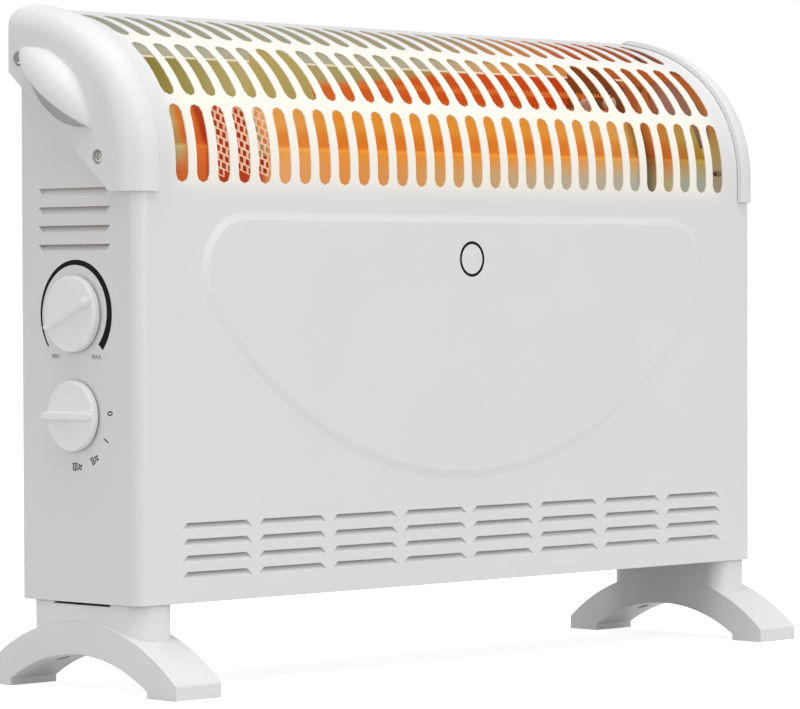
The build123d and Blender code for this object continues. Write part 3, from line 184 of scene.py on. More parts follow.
class HeaterKnobSettings(PropertyGroup):
    """Turned knobs with a finger bar."""

    rounding: length_property("Rim rounding", "Rounding of the knob's rim", 1.8 * MM)
    dome: length_property("Dome", "Rise of the face at its middle", 0.4 * MM)
    bar_height: length_property("Bar height", "Rise of the finger bar's tail over the face", 5.8 * MM)
    bar_pointer: length_property("Pointer height", "Rise of the finger bar at its pointer", 2.6 * MM)
    bar_top: length_property("Bar top", "Width of the finger bar along its top", 4.2 * MM)
    bar_foot: length_property("Bar foot", "Width of the finger bar at the face", 6.4 * MM)
    sides: IntProperty(name="Sides", description="Steps round the knob", min=24, default=96)


class HeaterGuardSettings(PropertyGroup):
    """Expanded metal of the fan's guard."""

    cells_across: IntProperty(name="Cells across", description="Cells along its width", min=2, default=11)
    cells_up: IntProperty(name="Cells up", description="Cells along its height", min=2, default=10)
    lean: FloatProperty(name="Lean", description="Fall of the rows to the right", default=0.35)
    strand: length_property("Strand", "Width of a strand", 0.95 * MM)


class HeaterStageSettings(PropertyGroup):
    """Camera, floor and lamps."""

    camera_place: FloatVectorProperty(name="Camera", description="Place of the camera", subtype="XYZ", size=3,
                                      unit="LENGTH", default=(-1.96265, -1.91005, 0.25008))
    azimuth: FloatProperty(name="Azimuth", description="Turn of the view from +Y to +X", subtype="ANGLE",
                           default=0.7963794)
    pitch: FloatProperty(name="Pitch", description="How far the view looks down", subtype="ANGLE",
                         default=0.0162108)
    roll: FloatProperty(name="Roll", description="Turn of the camera about its view", subtype="ANGLE",
                        default=-0.0039211)
    lens: FloatProperty(name="Lens", description="Focal length in mm", default=183.06)
    floor_half: length_property("Floor", "Half the width of the floor", 30.0)
    floor_colour: colour_property("Floor colour", "Paint of the floor", (0.60, 0.60, 0.60))
    floor_white: FloatProperty(name="Floor white", description="White that the camera sees on the floor",
                               min=0.0, max=1.0, default=0.80)
    sky: FloatProperty(name="Room light", description="Even light from all round", min=0.0, default=0.52)
    top_lamp: FloatProperty(name="Top lamp", description="Soft light from above", min=0.0, default=1.55)
    front_lamp: FloatProperty(name="Front lamp", description="Soft light on the front", min=0.0, default=0.55)
    side_lamp: FloatProperty(name="Side lamp", description="Soft light on the controls", min=0.0,
                             default=0.22)


SETTING_GROUPS = {
    "heater_finish": HeaterFinishSettings,
    "heater_glow": HeaterGlowSettings,
    "heater_print": HeaterPrintSettings,
    "heater_fasteners": HeaterFastenerSettings,
    "heater_knobs": HeaterKnobSettings,
    "heater_guard": HeaterGuardSettings,
    "heater_stage": HeaterStageSettings,
}


class Surface:
    """Node material built round one Principled shader."""

    def __init__(self, name, colour, roughness, metallic=0.0, coat=0.0):
        self.material = bpy.data.materials.new(name)
        self.material.use_nodes = True
        self.nodes = self.material.node_tree.nodes
        self.links = self.material.node_tree.links
        self.shader = self.nodes["Principled BSDF"]
        self.shader.inputs["Base Color"].default_value = (*colour, 1.0)
        self.shader.inputs["Roughness"].default_value = roughness
        self.shader.inputs["Metallic"].default_value = metallic
        self.shader.inputs["Coat Weight"].default_value = coat
        self.place = self.nodes.new("ShaderNodeTexCoord").outputs["Object"]

    def noise(self, scale, detail=3.0, stretch=(1.0, 1.0, 1.0)):
        """Noise by place, its grain given in cycles to the metre."""
        mapping = self.nodes.new("ShaderNodeMapping")
        mapping.inputs["Scale"].default_value = stretch
        node = self.nodes.new("ShaderNodeTexNoise")
        node.inputs["Scale"].default_value = scale
        node.inputs["Detail"].default_value = detail
        self.links.new(self.place, mapping.inputs["Vector"])
        self.links.new(mapping.outputs["Vector"], node.inputs["Vector"])
        return node.outputs[0]

    def ramp(self, value, stops):
        """Colour by a value, from a list of positions and colours."""
        node = self.nodes.new("ShaderNodeValToRGB")
        elements = node.color_ramp.elements
        for extra in range(len(stops) - 2):
            elements.new(0.5 + 0.01 * extra)
        for element, (position, colour) in zip(elements, stops):
            element.position = position
            element.color = (*colour, 1.0)
        self.links.new(value, node.inputs["Fac"])
        return node.outputs["Color"]

    def along(self, axis):
        """Place along one axis, in metres."""
        node = self.nodes.new("ShaderNodeSeparateXYZ")
        self.links.new(self.place, node.inputs["Vector"])
        return node.outputs[axis]

    def between(self, value, low, high, smooth=True):
        """Zero at the low value and one at the high one."""
        node = self.nodes.new("ShaderNodeMapRange")
        node.interpolation_type = "SMOOTHSTEP" if smooth else "LINEAR"
        node.inputs["From Min"].default_value = low
        node.inputs["From Max"].default_value = high
        self.links.new(value, node.inputs["Value"])
        return node.outputs["Result"]

    def feed(self, socket, value):
        """Link a socket to another one, or set it to a number or a colour."""
        if isinstance(value, bpy.types.NodeSocket):
            self.links.new(value, socket)
        else:
            socket.default_value = (*value, 1.0) if isinstance(value, tuple) else value

    def calculate(self, operation, *values):
        """Result of a maths node on sockets or numbers."""
        node = self.nodes.new("ShaderNodeMath")
        node.operation = operation
        for socket, value in zip(node.inputs, values):
            self.feed(socket, value)
        return node.outputs["Value"]

    def sum_of(self, first, second, factor=1.0):
        """First value plus the second times a factor."""
        return self.calculate("MULTIPLY_ADD", second, factor, first)

    def product(self, first, second):
        """Product of two values."""
        return self.calculate("MULTIPLY", first, second)

    def mix(self, factor, first, second, blend="MIX"):
        """Mix of two colours by a factor."""
        node = self.nodes.new("ShaderNodeMix")
        node.data_type = "RGBA"
        node.blend_type = blend
        for index, value in ((0, factor), (6, first), (7, second)):
            self.feed(node.inputs[index], value)
        return node.outputs[2]

    def dimmed(self, colour, share):
        """A colour made darker to a share of itself."""
        return self.mix(1.0, colour, (share, share, share), "MULTIPLY")

    def mottled(self, colour, dark, light, scale, detail=3.0, stretch=(1.0, 1.0, 1.0)):
        """A colour that drifts between a darker and a lighter shade."""
        stops = [(0.3, shade(colour, dark)), (0.7, shade(colour, light))]
        return self.ramp(self.noise(scale, detail, stretch), stops)

    def facing(self, axis, start, full):
        """One where a face looks down an axis, zero where it looks up it."""
        geometry = self.nodes.new("ShaderNodeNewGeometry")
        split = self.nodes.new("ShaderNodeSeparateXYZ")
        self.links.new(geometry.outputs["True Normal"], split.inputs["Vector"])
        return self.between(split.outputs[axis], -start, -full)

    def shine(self, colour, strength):
        """Let the surface give light of a colour; the strength is a number or a socket."""
        self.feed(self.shader.inputs["Emission Color"], colour)
        self.feed(self.shader.inputs["Emission Strength"], strength)

    def colour(self, socket):
        """Use a colour for the base."""
        self.links.new(socket, self.shader.inputs["Base Color"])

    def vary_roughness(self, low, high, scale):
        """Roughness that drifts between two values."""
        node = self.nodes.new("ShaderNodeMapRange")
        node.inputs["To Min"].default_value = low
        node.inputs["To Max"].default_value = high
        self.links.new(self.noise(scale), node.inputs["Value"])
        self.links.new(node.outputs["Result"], self.shader.inputs["Roughness"])

    def relief(self, scale, height, rim, detail=2.0, stretch=(1.0, 1.0, 1.0)):
        """Fine surface relief over softened rims."""
        bump = self.nodes.new("ShaderNodeBump")
        bump.inputs["Strength"].default_value = 1.0
        bump.inputs["Distance"].default_value = height
        self.links.new(self.noise(scale, detail, stretch), bump.inputs["Height"])
        if rim > 0.0:
            bevel = self.nodes.new("ShaderNodeBevel")
            bevel.samples = 6
            bevel.inputs["Radius"].default_value = rim
            self.links.new(bevel.outputs["Normal"], bump.inputs["Normal"])
        self.links.new(bump.outputs["Normal"], self.shader.inputs["Normal"])


def shade(colour, factor):
    """A colour made darker or lighter."""
    return tuple(min(channel * factor, 1.0) for channel in colour)


def enamel_surface(finish):
    """Powder-coated steel with faint orange peel; painted warm light of the wires on the bars and the inner
    faces, as base colour and emission; painted shade under the louvres.
    """
    surface = Surface("enamel", finish.enamel, finish.enamel_roughness)
    plain = surface.mottled(finish.enamel, 0.985, 1.015, 9.0, 4.0)
    height, place_x, place_y = surface.along("Z"), surface.along("X"), surface.along("Y")
    # Painted light: the grille's bars take a warm tint in their base colour, and some emission below, for the
    # wires' glow on them.
    warm_start, warm_full = (HOUSING_LOW.z + rise for rise in GRILLE_FOOT)
    above = surface.between(height, warm_start, warm_full)
    middle = surface.between(surface.calculate("ABSOLUTE", place_x), *GRILLE_END)
    fade = surface.between(height, *(HOUSING_HIGH.z - drop for drop in GRILLE_TOP))
    bars = surface.product(surface.product(above, middle), fade)
    bars = surface.product(bars, surface.facing("Y", -0.3, 0.0))
    paint = surface.mix(bars, plain, tuple(finish.painted_bar_glow))
    # Painted shade: steep undersides below the grille, the louvres' lips, take a near-black colour for the
    # shadow in the louvres' mouths.
    below = surface.between(height, warm_full, warm_start)
    shadowed = surface.product(surface.facing("Z", 0.80, 0.96), below)
    paint = surface.mix(shadowed, paint, tuple(finish.painted_louvre_shade))
    # Painted light: inner faces of the housing, its undersides and the inner right and back walls, take the
    # chamber's glow colours as base colour and as emission.
    underside = surface.product(surface.facing("Z", 0.02, 0.25), above)
    inner_wall = surface.product(surface.facing("X", 0.5, 0.9), surface.between(place_x, *RIGHT_WALL))
    inner_wall = surface.product(inner_wall, above)
    back_wall = surface.product(surface.facing("Y", 0.5, 0.9), surface.between(place_y, *BACK_WALL))
    back_wall = surface.product(back_wall, above)
    across = across_chamber(surface)
    roof = surface.ramp(across, [
        (0.0, (0.40, 0.41, 0.34)), (0.35, (0.42, 0.40, 0.27)), (0.65, (0.42, 0.36, 0.20)),
        (0.80, (0.62, 0.27, 0.07)), (0.92, (0.55, 0.10, 0.015)), (1.0, (0.45, 0.12, 0.03)),
    ])
    rise = surface.between(height, *WALL_RISE, smooth=False)
    wall = surface.ramp(rise, [
        (0.12, (0.38, 0.39, 0.35)), (0.40, (0.46, 0.38, 0.12)), (0.58, (0.50, 0.22, 0.05)),
        (0.85, (0.52, 0.13, 0.03)),
    ])
    inside = surface.sum_of(surface.sum_of(underside, inner_wall), back_wall)
    painted_inner_glow = surface.mix(inner_wall, roof, wall)
    surface.colour(surface.mix(inside, paint, surface.dimmed(painted_inner_glow, 0.6)))
    warm = surface.mix(inside, (1.0, 0.90, 0.74), painted_inner_glow)
    given = surface.sum_of(inside, bars, BAR_SHARE)
    surface.shine(warm, surface.product(given, INNER_GLOW))
    surface.vary_roughness(finish.enamel_roughness - 0.04, finish.enamel_roughness + 0.05, 30.0)
    surface.shader.inputs["Coat Weight"].default_value = 0.15
    surface.shader.inputs["Coat Roughness"].default_value = 0.12
    surface.relief(900.0, 0.010 * MM, finish.rim, detail=1.5)
    return surface.material


def moulding_surface(finish):
    """Satin injection moulding with a fine spark texture."""
    surface = Surface("moulding", finish.moulding, finish.moulding_roughness)
    surface.colour(surface.mottled(finish.moulding, 0.98, 1.02, 14.0))
    surface.vary_roughness(finish.moulding_roughness - 0.05, finish.moulding_roughness + 0.05, 60.0)
    surface.relief(2600.0, 0.012 * MM, 1.4 * finish.rim, detail=3.0)
    return surface.material


def knob_surface(finish):
    """Smooth moulding with a light polish."""
    surface = Surface("knob_plastic", finish.knob, 0.30)
    surface.colour(surface.mottled(finish.knob, 0.985, 1.01, 60.0))
    surface.vary_roughness(0.26, 0.36, 220.0)
    surface.shader.inputs["Coat Weight"].default_value = 0.2
    surface.shader.inputs["Coat Roughness"].default_value = 0.15
    surface.relief(1500.0, 0.004 * MM, 0.5 * finish.rim)
    return surface.material


def ink_surface(name, colour):
    """Screen-printed ink, a little uneven."""
    surface = Surface(name, colour, 0.7)
    surface.shader.inputs["Specular IOR Level"].default_value = 0.12
    surface.colour(surface.mottled(colour, 0.8, 1.25, 2500.0))
    surface.relief(4000.0, 0.004 * MM, 0.0)
    return surface.material


def zinc_surface(finish):
    """Bright zinc plate with fine turning marks."""
    surface = Surface("zinc", finish.zinc, 0.32, metallic=1.0)
    surface.colour(surface.mottled(finish.zinc, 0.8, 1.15, 700.0, 4.0))
    surface.vary_roughness(0.24, 0.42, 1500.0)
    surface.relief(3500.0, 0.006 * MM, 0.2 * MM)
    return surface.material


def shaded_sheet_surface(finish):
    """Aluminised sheet with spangle and rolling lines, made near-black as painted shade for the inside of the
    housing.
    """
    surface = Surface("aluminised_sheet", finish.sheet, 0.45, metallic=0.7)
    surface.colour(surface.mottled(finish.sheet, 0.8, 1.1, 240.0, 5.0, (1.0, 1.0, 2.5)))
    surface.vary_roughness(0.38, 0.6, 300.0)
    surface.relief(1200.0, 0.01 * MM, 0.2 * MM, stretch=(0.05, 1.0, 1.0))
    return surface.material


def plain_surface(name, colour, roughness, metallic, grain, depth, rim):
    """Moulded, ceramic or laminated surface with its own grain."""
    surface = Surface(name, colour, roughness, metallic)
    surface.colour(surface.mottled(colour, 0.85, 1.15, grain / 8.0, 4.0))
    surface.vary_roughness(roughness * 0.85, min(roughness * 1.15, 1.0), grain / 2.0)
    surface.relief(grain, depth, rim)
    return surface.material


def heat_stops(*stops):
    """Colours along the width, each given with its place across the chamber in millimetres."""
    low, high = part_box("front_heat_shield")
    width = (high.x - low.x) / MM
    return [((place - low.x / MM) / width, colour) for place, colour in stops]


def across_chamber(surface):
    """Zero at the chamber's left end and one at its right end."""
    low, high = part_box("front_heat_shield")
    return surface.between(surface.along("X"), low.x, high.x, smooth=False)


def light_up(surface, colour, strength):
    """Paint the glow that a surface shows as its base colour and emission, but not on its back or below the
    chamber, where it takes a near-black colour as painted shade.
    """
    front = surface.facing("Y", -0.6, -0.3)
    lit = surface.product(front, surface.between(surface.along("Z"), GLOW_LOW, GLOW_LOW + GLOW_FADE))
    surface.colour(surface.mix(lit, SHADE_DARK_SHEET, surface.dimmed(colour, 0.3)))
    surface.shader.inputs["Specular IOR Level"].default_value = 0.2
    surface.shine(colour, surface.product(lit, strength))


def front_shield_surface(glow):
    """Front heat shield with the wires' glow painted on it as base colour and emission: orange above its
    fold, greyer towards the bottom and the right end, with a painted highlight along the fold and a dark
    stripe near the right end painted for the shaded side of the end plate.
    """
    surface = Surface("front_shield_glow", (0.5, 0.3, 0.1), 0.5, metallic=0.2)
    across = across_chamber(surface)
    upper = surface.ramp(across, heat_stops(
        (-262, (0.352, 0.305, 0.045)), (-246, (0.515, 0.456, 0.188)), (-238, (0.752, 0.188, 0.026)),
        (-225, (0.752, 0.165, 0.020)), (-222, (0.50, 0.045, 0.007)), (-178, (0.56, 0.061, 0.010)),
        (-166, (0.871, 0.376, 0.080)),
        (-130, (0.855, 0.352, 0.061)), (-100, (0.855, 0.305, 0.026)), (100, (0.855, 0.314, 0.032)),
        (185, (0.753, 0.376, 0.080)), (198, (0.114, 0.061, 0.013)), (216, (0.679, 0.188, 0.026)),
        (240, (0.515, 0.305, 0.061)), (262, (0.456, 0.352, 0.070)),
    ))
    lower = surface.ramp(across, heat_stops(
        (-262, (0.283, 0.102, 0.045)), (-244, (0.679, 0.141, 0.026)), (-225, (0.679, 0.130, 0.020)),
        (-222, (0.485, 0.038, 0.007)),
        (-178, (0.52, 0.05, 0.007)), (-166, (0.831, 0.402, 0.156)), (-100, (0.791, 0.305, 0.070)),
        (0, (0.679, 0.376, 0.141)), (100, (0.546, 0.456, 0.305)), (185, (0.485, 0.468, 0.376)),
        (198, (0.127, 0.114, 0.061)), (216, (0.485, 0.376, 0.156)), (240, (0.402, 0.412, 0.352)),
        (262, (0.402, 0.412, 0.352)),
    ))
    height = surface.along("Z")
    body = surface.mix(surface.between(height, 0.322, 0.341), lower, upper)
    low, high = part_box("front_heat_shield")
    rise = surface.between(height, SHIELD_FOOT, high.z, smooth=False)
    # Painted highlight and shade: the fold gets a bright line with a darker band above it.
    fold = ((0.3375, (1.0, 1.0, 1.0)), (0.3395, (1.18, 1.18, 1.18)), (0.3415, (0.92, 0.62, 0.42)),
            (0.3490, (0.94, 0.72, 0.52)), (0.3550, (1.0, 1.0, 1.0)))
    stops = [((place - SHIELD_FOOT) / (high.z - SHIELD_FOOT), colour) for place, colour in fold]
    band = surface.ramp(rise, [(0.0, (1.0, 1.0, 1.0))] + stops)
    light_up(surface, surface.mix(1.0, body, band, "MULTIPLY"), glow.strength)
    surface.vary_roughness(0.4, 0.6, 250.0)
    surface.relief(900.0, 0.02 * MM, 0.0, stretch=(0.08, 1.0, 1.0))
    return surface.material


def rear_shield_surface(glow):
    """Rear reflector with the wires' glow painted on it as base colour and emission: red-orange below a
    slanting edge, khaki above it, and a pale painted highlight along its top rim.
    """
    surface = Surface("rear_shield_glow", (0.5, 0.2, 0.05), 0.5, metallic=0.2)
    across = across_chamber(surface)
    # Painted light: these two ramps give the wires' red-orange and khaki glow below and above the slanting
    # edge.
    hot = surface.ramp(across, heat_stops(
        (-262, (0.38, 0.28, 0.045)), (-150, (0.46, 0.36, 0.10)), (-110, (0.55, 0.42, 0.16)),
        (-95, (0.791, 0.305, 0.061)), (-60, (0.753, 0.156, 0.021)), (60, (0.716, 0.102, 0.008)),
        (150, (0.679, 0.080, 0.007)), (200, (0.610, 0.053, 0.007)), (225, (0.305, 0.038, 0.007)),
        (262, (0.600, 0.156, 0.021)),
    ))
    cool = surface.ramp(across, heat_stops(
        (-262, (0.429, 0.328, 0.080)), (-200, (0.305, 0.242, 0.045)), (-120, (0.546, 0.456, 0.188)),
        (0, (0.429, 0.352, 0.127)), (60, (0.456, 0.305, 0.080)), (120, (0.831, 0.283, 0.045)),
        (190, (0.800, 0.262, 0.060)), (262, (0.578, 0.080, 0.013)),
    ))
    slant = surface.sum_of(surface.along("Z"), surface.along("X"), -0.1)
    body = surface.mix(surface.between(slant, 0.388, 0.394), hot, cool)
    height = surface.along("Z")
    body = surface.mix(surface.between(height, 0.372, 0.366), body, (0.50, 0.045, 0.007))
    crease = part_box("rear_heat_shield")[1].z - 0.0075
    above = surface.ramp(across, heat_stops(
        (-262, (0.52, 0.50, 0.38)), (60, (0.50, 0.47, 0.33)), (130, (0.78, 0.38, 0.10)),
        (200, (0.72, 0.30, 0.07)), (262, (0.50, 0.08, 0.02)),
    ))
    body = surface.mix(surface.between(height, crease + 0.0012, crease + 0.0016), body, above)
    # Painted highlight: a pale line along the crease under the top rim.
    line = surface.product(surface.between(height, crease, crease + 0.0003),
                           surface.between(height, crease + 0.0016, crease + 0.0013))
    light_up(surface, surface.mix(line, body, (0.97, 0.84, 0.64)), glow.strength)
    surface.vary_roughness(0.4, 0.6, 250.0)
    surface.relief(900.0, 0.02 * MM, 0.0, stretch=(0.08, 1.0, 1.0))
    return surface.material


def glow_lit_plate_surface(name, colour, glow):
    """Inner sheet with the wires' light on it painted as base colour and emission, brighter towards its top.
    """
    surface = Surface(name, colour, 0.5, metallic=0.3)
    height = surface.between(surface.along("Z"), 0.30, 0.40)
    light_up(surface, surface.mix(height, shade(colour, 0.8), shade(colour, 1.2)), glow.strength)
    surface.relief(700.0, 0.02 * MM, 0.0)
    return surface.material


def wire_surface(glow):
    """Resistance wire at red heat, its glow varying at random along it."""
    surface = Surface("glowing_wire", (0.25, 0.10, 0.05), 0.55, metallic=1.0)
    heat = surface.noise(40.0, 2.0)
    colour = tuple(glow.wire_colour)
    lit = surface.ramp(heat, [(0.2, shade(colour, 0.6)), (0.8, colour)])
    surface.links.new(lit, surface.shader.inputs["Emission Color"])
    surface.shader.inputs["Emission Strength"].default_value = glow.wire_strength
    return surface.material


def stage_surface(stage):
    """Pale floor: the camera sees added white, and the shadow of the heater stays."""
    surface = Surface("floor", stage.floor_colour, 0.9)
    surface.shader.inputs["Specular IOR Level"].default_value = 0.0
    surface.colour(surface.mottled(stage.floor_colour, 0.99, 1.01, 3.0, 2.0))
    path = surface.nodes.new("ShaderNodeLightPath")
    seen = surface.calculate("MAXIMUM", path.outputs["Is Camera Ray"], path.outputs["Is Glossy Ray"])
    lit = surface.nodes.new("ShaderNodeEmission")
    lit.inputs["Strength"].default_value = stage.floor_white
    nothing = surface.nodes.new("ShaderNodeEmission")
    nothing.inputs["Strength"].default_value = 0.0
    switch = surface.nodes.new("ShaderNodeMixShader")
    surface.links.new(seen, switch.inputs[0])
    surface.links.new(nothing.outputs["Emission"], switch.inputs[1])
    surface.links.new(lit.outputs["Emission"], switch.inputs[2])
    both = surface.nodes.new("ShaderNodeAddShader")
    surface.links.new(surface.shader.outputs["BSDF"], both.inputs[0])
    surface.links.new(switch.outputs["Shader"], both.inputs[1])
    surface.links.new(both.outputs["Shader"], surface.nodes["Material Output"].inputs["Surface"])
    return surface.material


def finish_nodes(names, material):
    """Give CAD nodes a finish."""
    for name in names:
        mesh = frame["nodes"][name].data
        mesh.materials.clear()
        mesh.materials.append(material)


def make_piece(name, mesh, material, body):
    """Object from a mesh, with its finish, riding on a body."""
    piece = bpy.data.objects.new(name, mesh)
    bpy.context.scene.collection.objects.link(piece)
    mesh.materials.clear()
    mesh.materials.append(material)
    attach(piece, body)
    return piece


def mesh_from(name, shape, smooth_angle=None):
    """Mesh from a bmesh, which is freed."""
    bmesh.ops.recalc_face_normals(shape, faces=shape.faces)
    mesh = bpy.data.meshes.new(name)
    shape.to_mesh(mesh)
    shape.free()
    if smooth_angle is not None:
        mesh.polygons.foreach_set("use_smooth", [True] * len(mesh.polygons))
        mesh.set_sharp_from_angle(angle=smooth_angle)
    return mesh


def side_place(centre, turn=0.0):
    """Place on the left side: X towards the front, Y up and Z outward, turned about Z."""
    axes = Matrix(((0.0, 0.0, -1.0), (-1.0, 0.0, 0.0), (0.0, 1.0, 0.0))).to_4x4()
    return Matrix.Translation((SIDE_X, centre.y, centre.z)) @ axes @ Matrix.Rotation(turn, 4, "Z")


def add_strip(shape, outer, inner, height):
    """Flat band between two rows of points, as a thin solid."""
    rows = []
    for z in (0.0, height):
        rows.append([shape.verts.new((x, y, z)) for x, y in outer])
        rows.append([shape.verts.new((x, y, z)) for x, y in inner])
    low_out, low_in, top_out, top_in = rows
    last = len(outer) - 1
    for i in range(last):
        shape.faces.new((top_out[i], top_out[i + 1], top_in[i + 1], top_in[i]))
        shape.faces.new((low_out[i], low_in[i], low_in[i + 1], low_out[i + 1]))
        shape.faces.new((low_out[i], low_out[i + 1], top_out[i + 1], top_out[i]))
        shape.faces.new((low_in[i], top_in[i], top_in[i + 1], low_in[i + 1]))
    shape.faces.new((low_out[0], top_out[0], top_in[0], low_in[0]))
    shape.faces.new((low_out[last], low_in[last], top_in[last], top_out[last]))


def add_slab(shape, points, height):
    """Thin solid from the corners of a flat outline."""
    low = [shape.verts.new((x, y, 0.0)) for x, y in points]
    top = [shape.verts.new((x, y, height)) for x, y in points]
    shape.faces.new(top)
    shape.faces.new(list(reversed(low)))
    for i, corner in enumerate(low):
        after = (i + 1) % len(low)
        shape.faces.new((corner, low[after], top[after], top[i]))


def turned_ring(shape, radius, height, sides):
    """Ring of points about the Z axis."""
    turns = [2 * math.pi * i / sides for i in range(sides)]
    return [shape.verts.new((radius * math.cos(turn), radius * math.sin(turn), height)) for turn in turns]


def join_rings(shape, rings):
    """Faces between closed rows of points that follow each other."""
    for first, second in zip(rings, rings[1:]):
        for i, corner in enumerate(first):
            after = (i + 1) % len(first)
            shape.faces.new((corner, first[after], second[after], second[i]))


def evaluated_mesh(item):
    """Mesh of an object with its modifiers or bevel; the object is removed."""
    bpy.context.scene.collection.objects.link(item)
    bpy.context.view_layer.update()
    view = bpy.context.evaluated_depsgraph_get()
    mesh = bpy.data.meshes.new_from_object(item.evaluated_get(view))
    bpy.data.objects.remove(item)
    return mesh


def arc_points(radius, start, end, steps):
    """Points along an arc, the angles in degrees."""
    turns = [math.radians(start + (end - start) * i / steps) for i in range(steps + 1)]
    return [(radius * math.cos(turn), radius * math.sin(turn)) for turn in turns]


class HEATER_OT_enamel(Operator):
    """Coat the folded housing and the back"""

    bl_idname = "heater.enamel"
    bl_label = "Sheet metal"

    def execute(self, context):
        material = enamel_surface(context.scene.heater_finish)
        finish_nodes(["front_housing", "rear_panel"], material)
        return {"FINISHED"}


def smooth_grip(node, side):
    """Shade the chords of a finger grip as the round spindle that they follow."""
    mesh = frame["nodes"][node].data
    face_x = side * (abs(SIDE_X) + GRIP_FACE)
    centre = Vector((face_x, GRIP_CENTRE[0], GRIP_CENTRE[1]))
    axis = Vector((0.0, math.cos(GRIP_TILT), math.sin(GRIP_TILT)))
    arc = (GRIP_HALF_LENGTH ** 2 + GRIP_RADIUS ** 2) / (2 * GRIP_RADIUS)
    sag = arc - GRIP_RADIUS
    normals = [tuple(normal.vector) for normal in mesh.corner_normals]
    for polygon in mesh.polygons:
        rounds = []
        for index in polygon.vertices:
            offset = mesh.vertices[index].co - centre
            along = offset.dot(axis)
            radial = offset - along * axis
            away = along * axis + radial + radial.normalized() * sag
            rounds.append(away)
        gaps = [abs(away.length - arc) for away in rounds]
        inner_gaps = [abs(away.length - arc + GRIP_WALL) for away in rounds]
        if max(gaps) > GRIP_SLACK and max(inner_gaps) > GRIP_SLACK:
            continue
        if abs(rounds[0].normalized().dot(polygon.normal)) < 0.9:
            continue
        sign = math.copysign(1.0, rounds[0].dot(polygon.normal))
        for corner, away in zip(polygon.loop_indices, rounds):
            normals[corner] = tuple(sign * away.normalized())
    mesh.normals_split_custom_set(normals)


class HEATER_OT_mouldings(Operator):
    """Finish the end caps, the feet and the cord bush"""

    bl_idname = "heater.mouldings"
    bl_label = "Mouldings"

    def execute(self, context):
        finish = context.scene.heater_finish
        finish_nodes(["left_end_cap", "right_end_cap", "left_foot", "right_foot"], moulding_surface(finish))
        smooth_grip("left_end_cap", -1.0)
        smooth_grip("right_end_cap", 1.0)
        bush = plain_surface("bush_rubber", (0.06, 0.06, 0.062), 0.6, 0.0, 1800.0, 0.02 * MM, 0.4 * MM)
        finish_nodes(["cord_gland"], bush)
        return {"FINISHED"}


def knob_profile(radius, low, face, knobs):
    """Side of a knob from its skirt over the rounded rim to the domed middle."""
    points = [(radius, low)]
    for step in range(7):
        turn = math.pi / 2 * step / 6
        rim = radius - knobs.rounding
        points.append((rim + knobs.rounding * math.cos(turn), face - knobs.rounding * (1 - math.sin(turn))))
    for step in range(1, 6):
        share = step / 6
        points.append((points[7][0] * (1 - share), face + knobs.dome * (1 - (1 - share) ** 2)))
    return points


def add_turned_shell(shape, profile, low, wall, sides):
    """Turned cap that is open below, with a wall of its own."""
    inner = [(max(x - wall, 0.0), y - wall) for x, y in profile if y > low + wall]
    inner = [(profile[0][0] - wall, low)] + inner
    outline = list(reversed(inner)) + profile
    rings = [turned_ring(shape, x, y, sides) for x, y in outline]
    join_rings(shape, rings)
    top = shape.verts.new((0.0, 0.0, profile[-1][1]))
    under = shape.verts.new((0.0, 0.0, inner[-1][1]))
    for i in range(sides):
        after = (i + 1) % sides
        shape.faces.new((rings[-1][i], rings[-1][after], top))
        shape.faces.new((rings[0][after], rings[0][i], under))


def add_finger_bar(shape, reach, face, height, knobs, root):
    """Bar that sweeps up from the pointer end to its tail, with drafted sides."""
    steps = 20
    sections = []
    for step in range(steps + 1):
        share = step / steps
        x = reach - 2 * reach * share
        climb = math.sin(math.pi / 2 * min(share / 0.9, 1.0)) ** 1.2
        top = face + knobs.bar_pointer + (height - knobs.bar_pointer) * climb
        if share > 0.93:
            top -= 1.2 * MM * ((share - 0.93) / 0.07) ** 2
        half_top = knobs.bar_top / 2
        half_foot = half_top + (knobs.bar_foot / 2 - half_top) * min(climb + 0.25, 1.0)
        edge = 0.5 * MM
        limit = math.sqrt(max(reach ** 2 - x ** 2, 0.0)) + 1.0 * MM
        half_foot = min(half_foot, limit)
        half_top = min(half_top, limit)
        sections.append([
            (x, -half_foot, root), (x, -half_foot, face), (x, -half_top - 0.1 * MM, top - edge),
            (x, -half_top + edge, top), (x, half_top - edge, top), (x, half_top + 0.1 * MM, top - edge),
            (x, half_foot, face), (x, half_foot, root),
        ])
    rows = [[shape.verts.new(point) for point in section] for section in sections]
    join_rings(shape, rows)
    shape.faces.new(list(reversed(rows[0])))
    shape.faces.new(rows[-1])


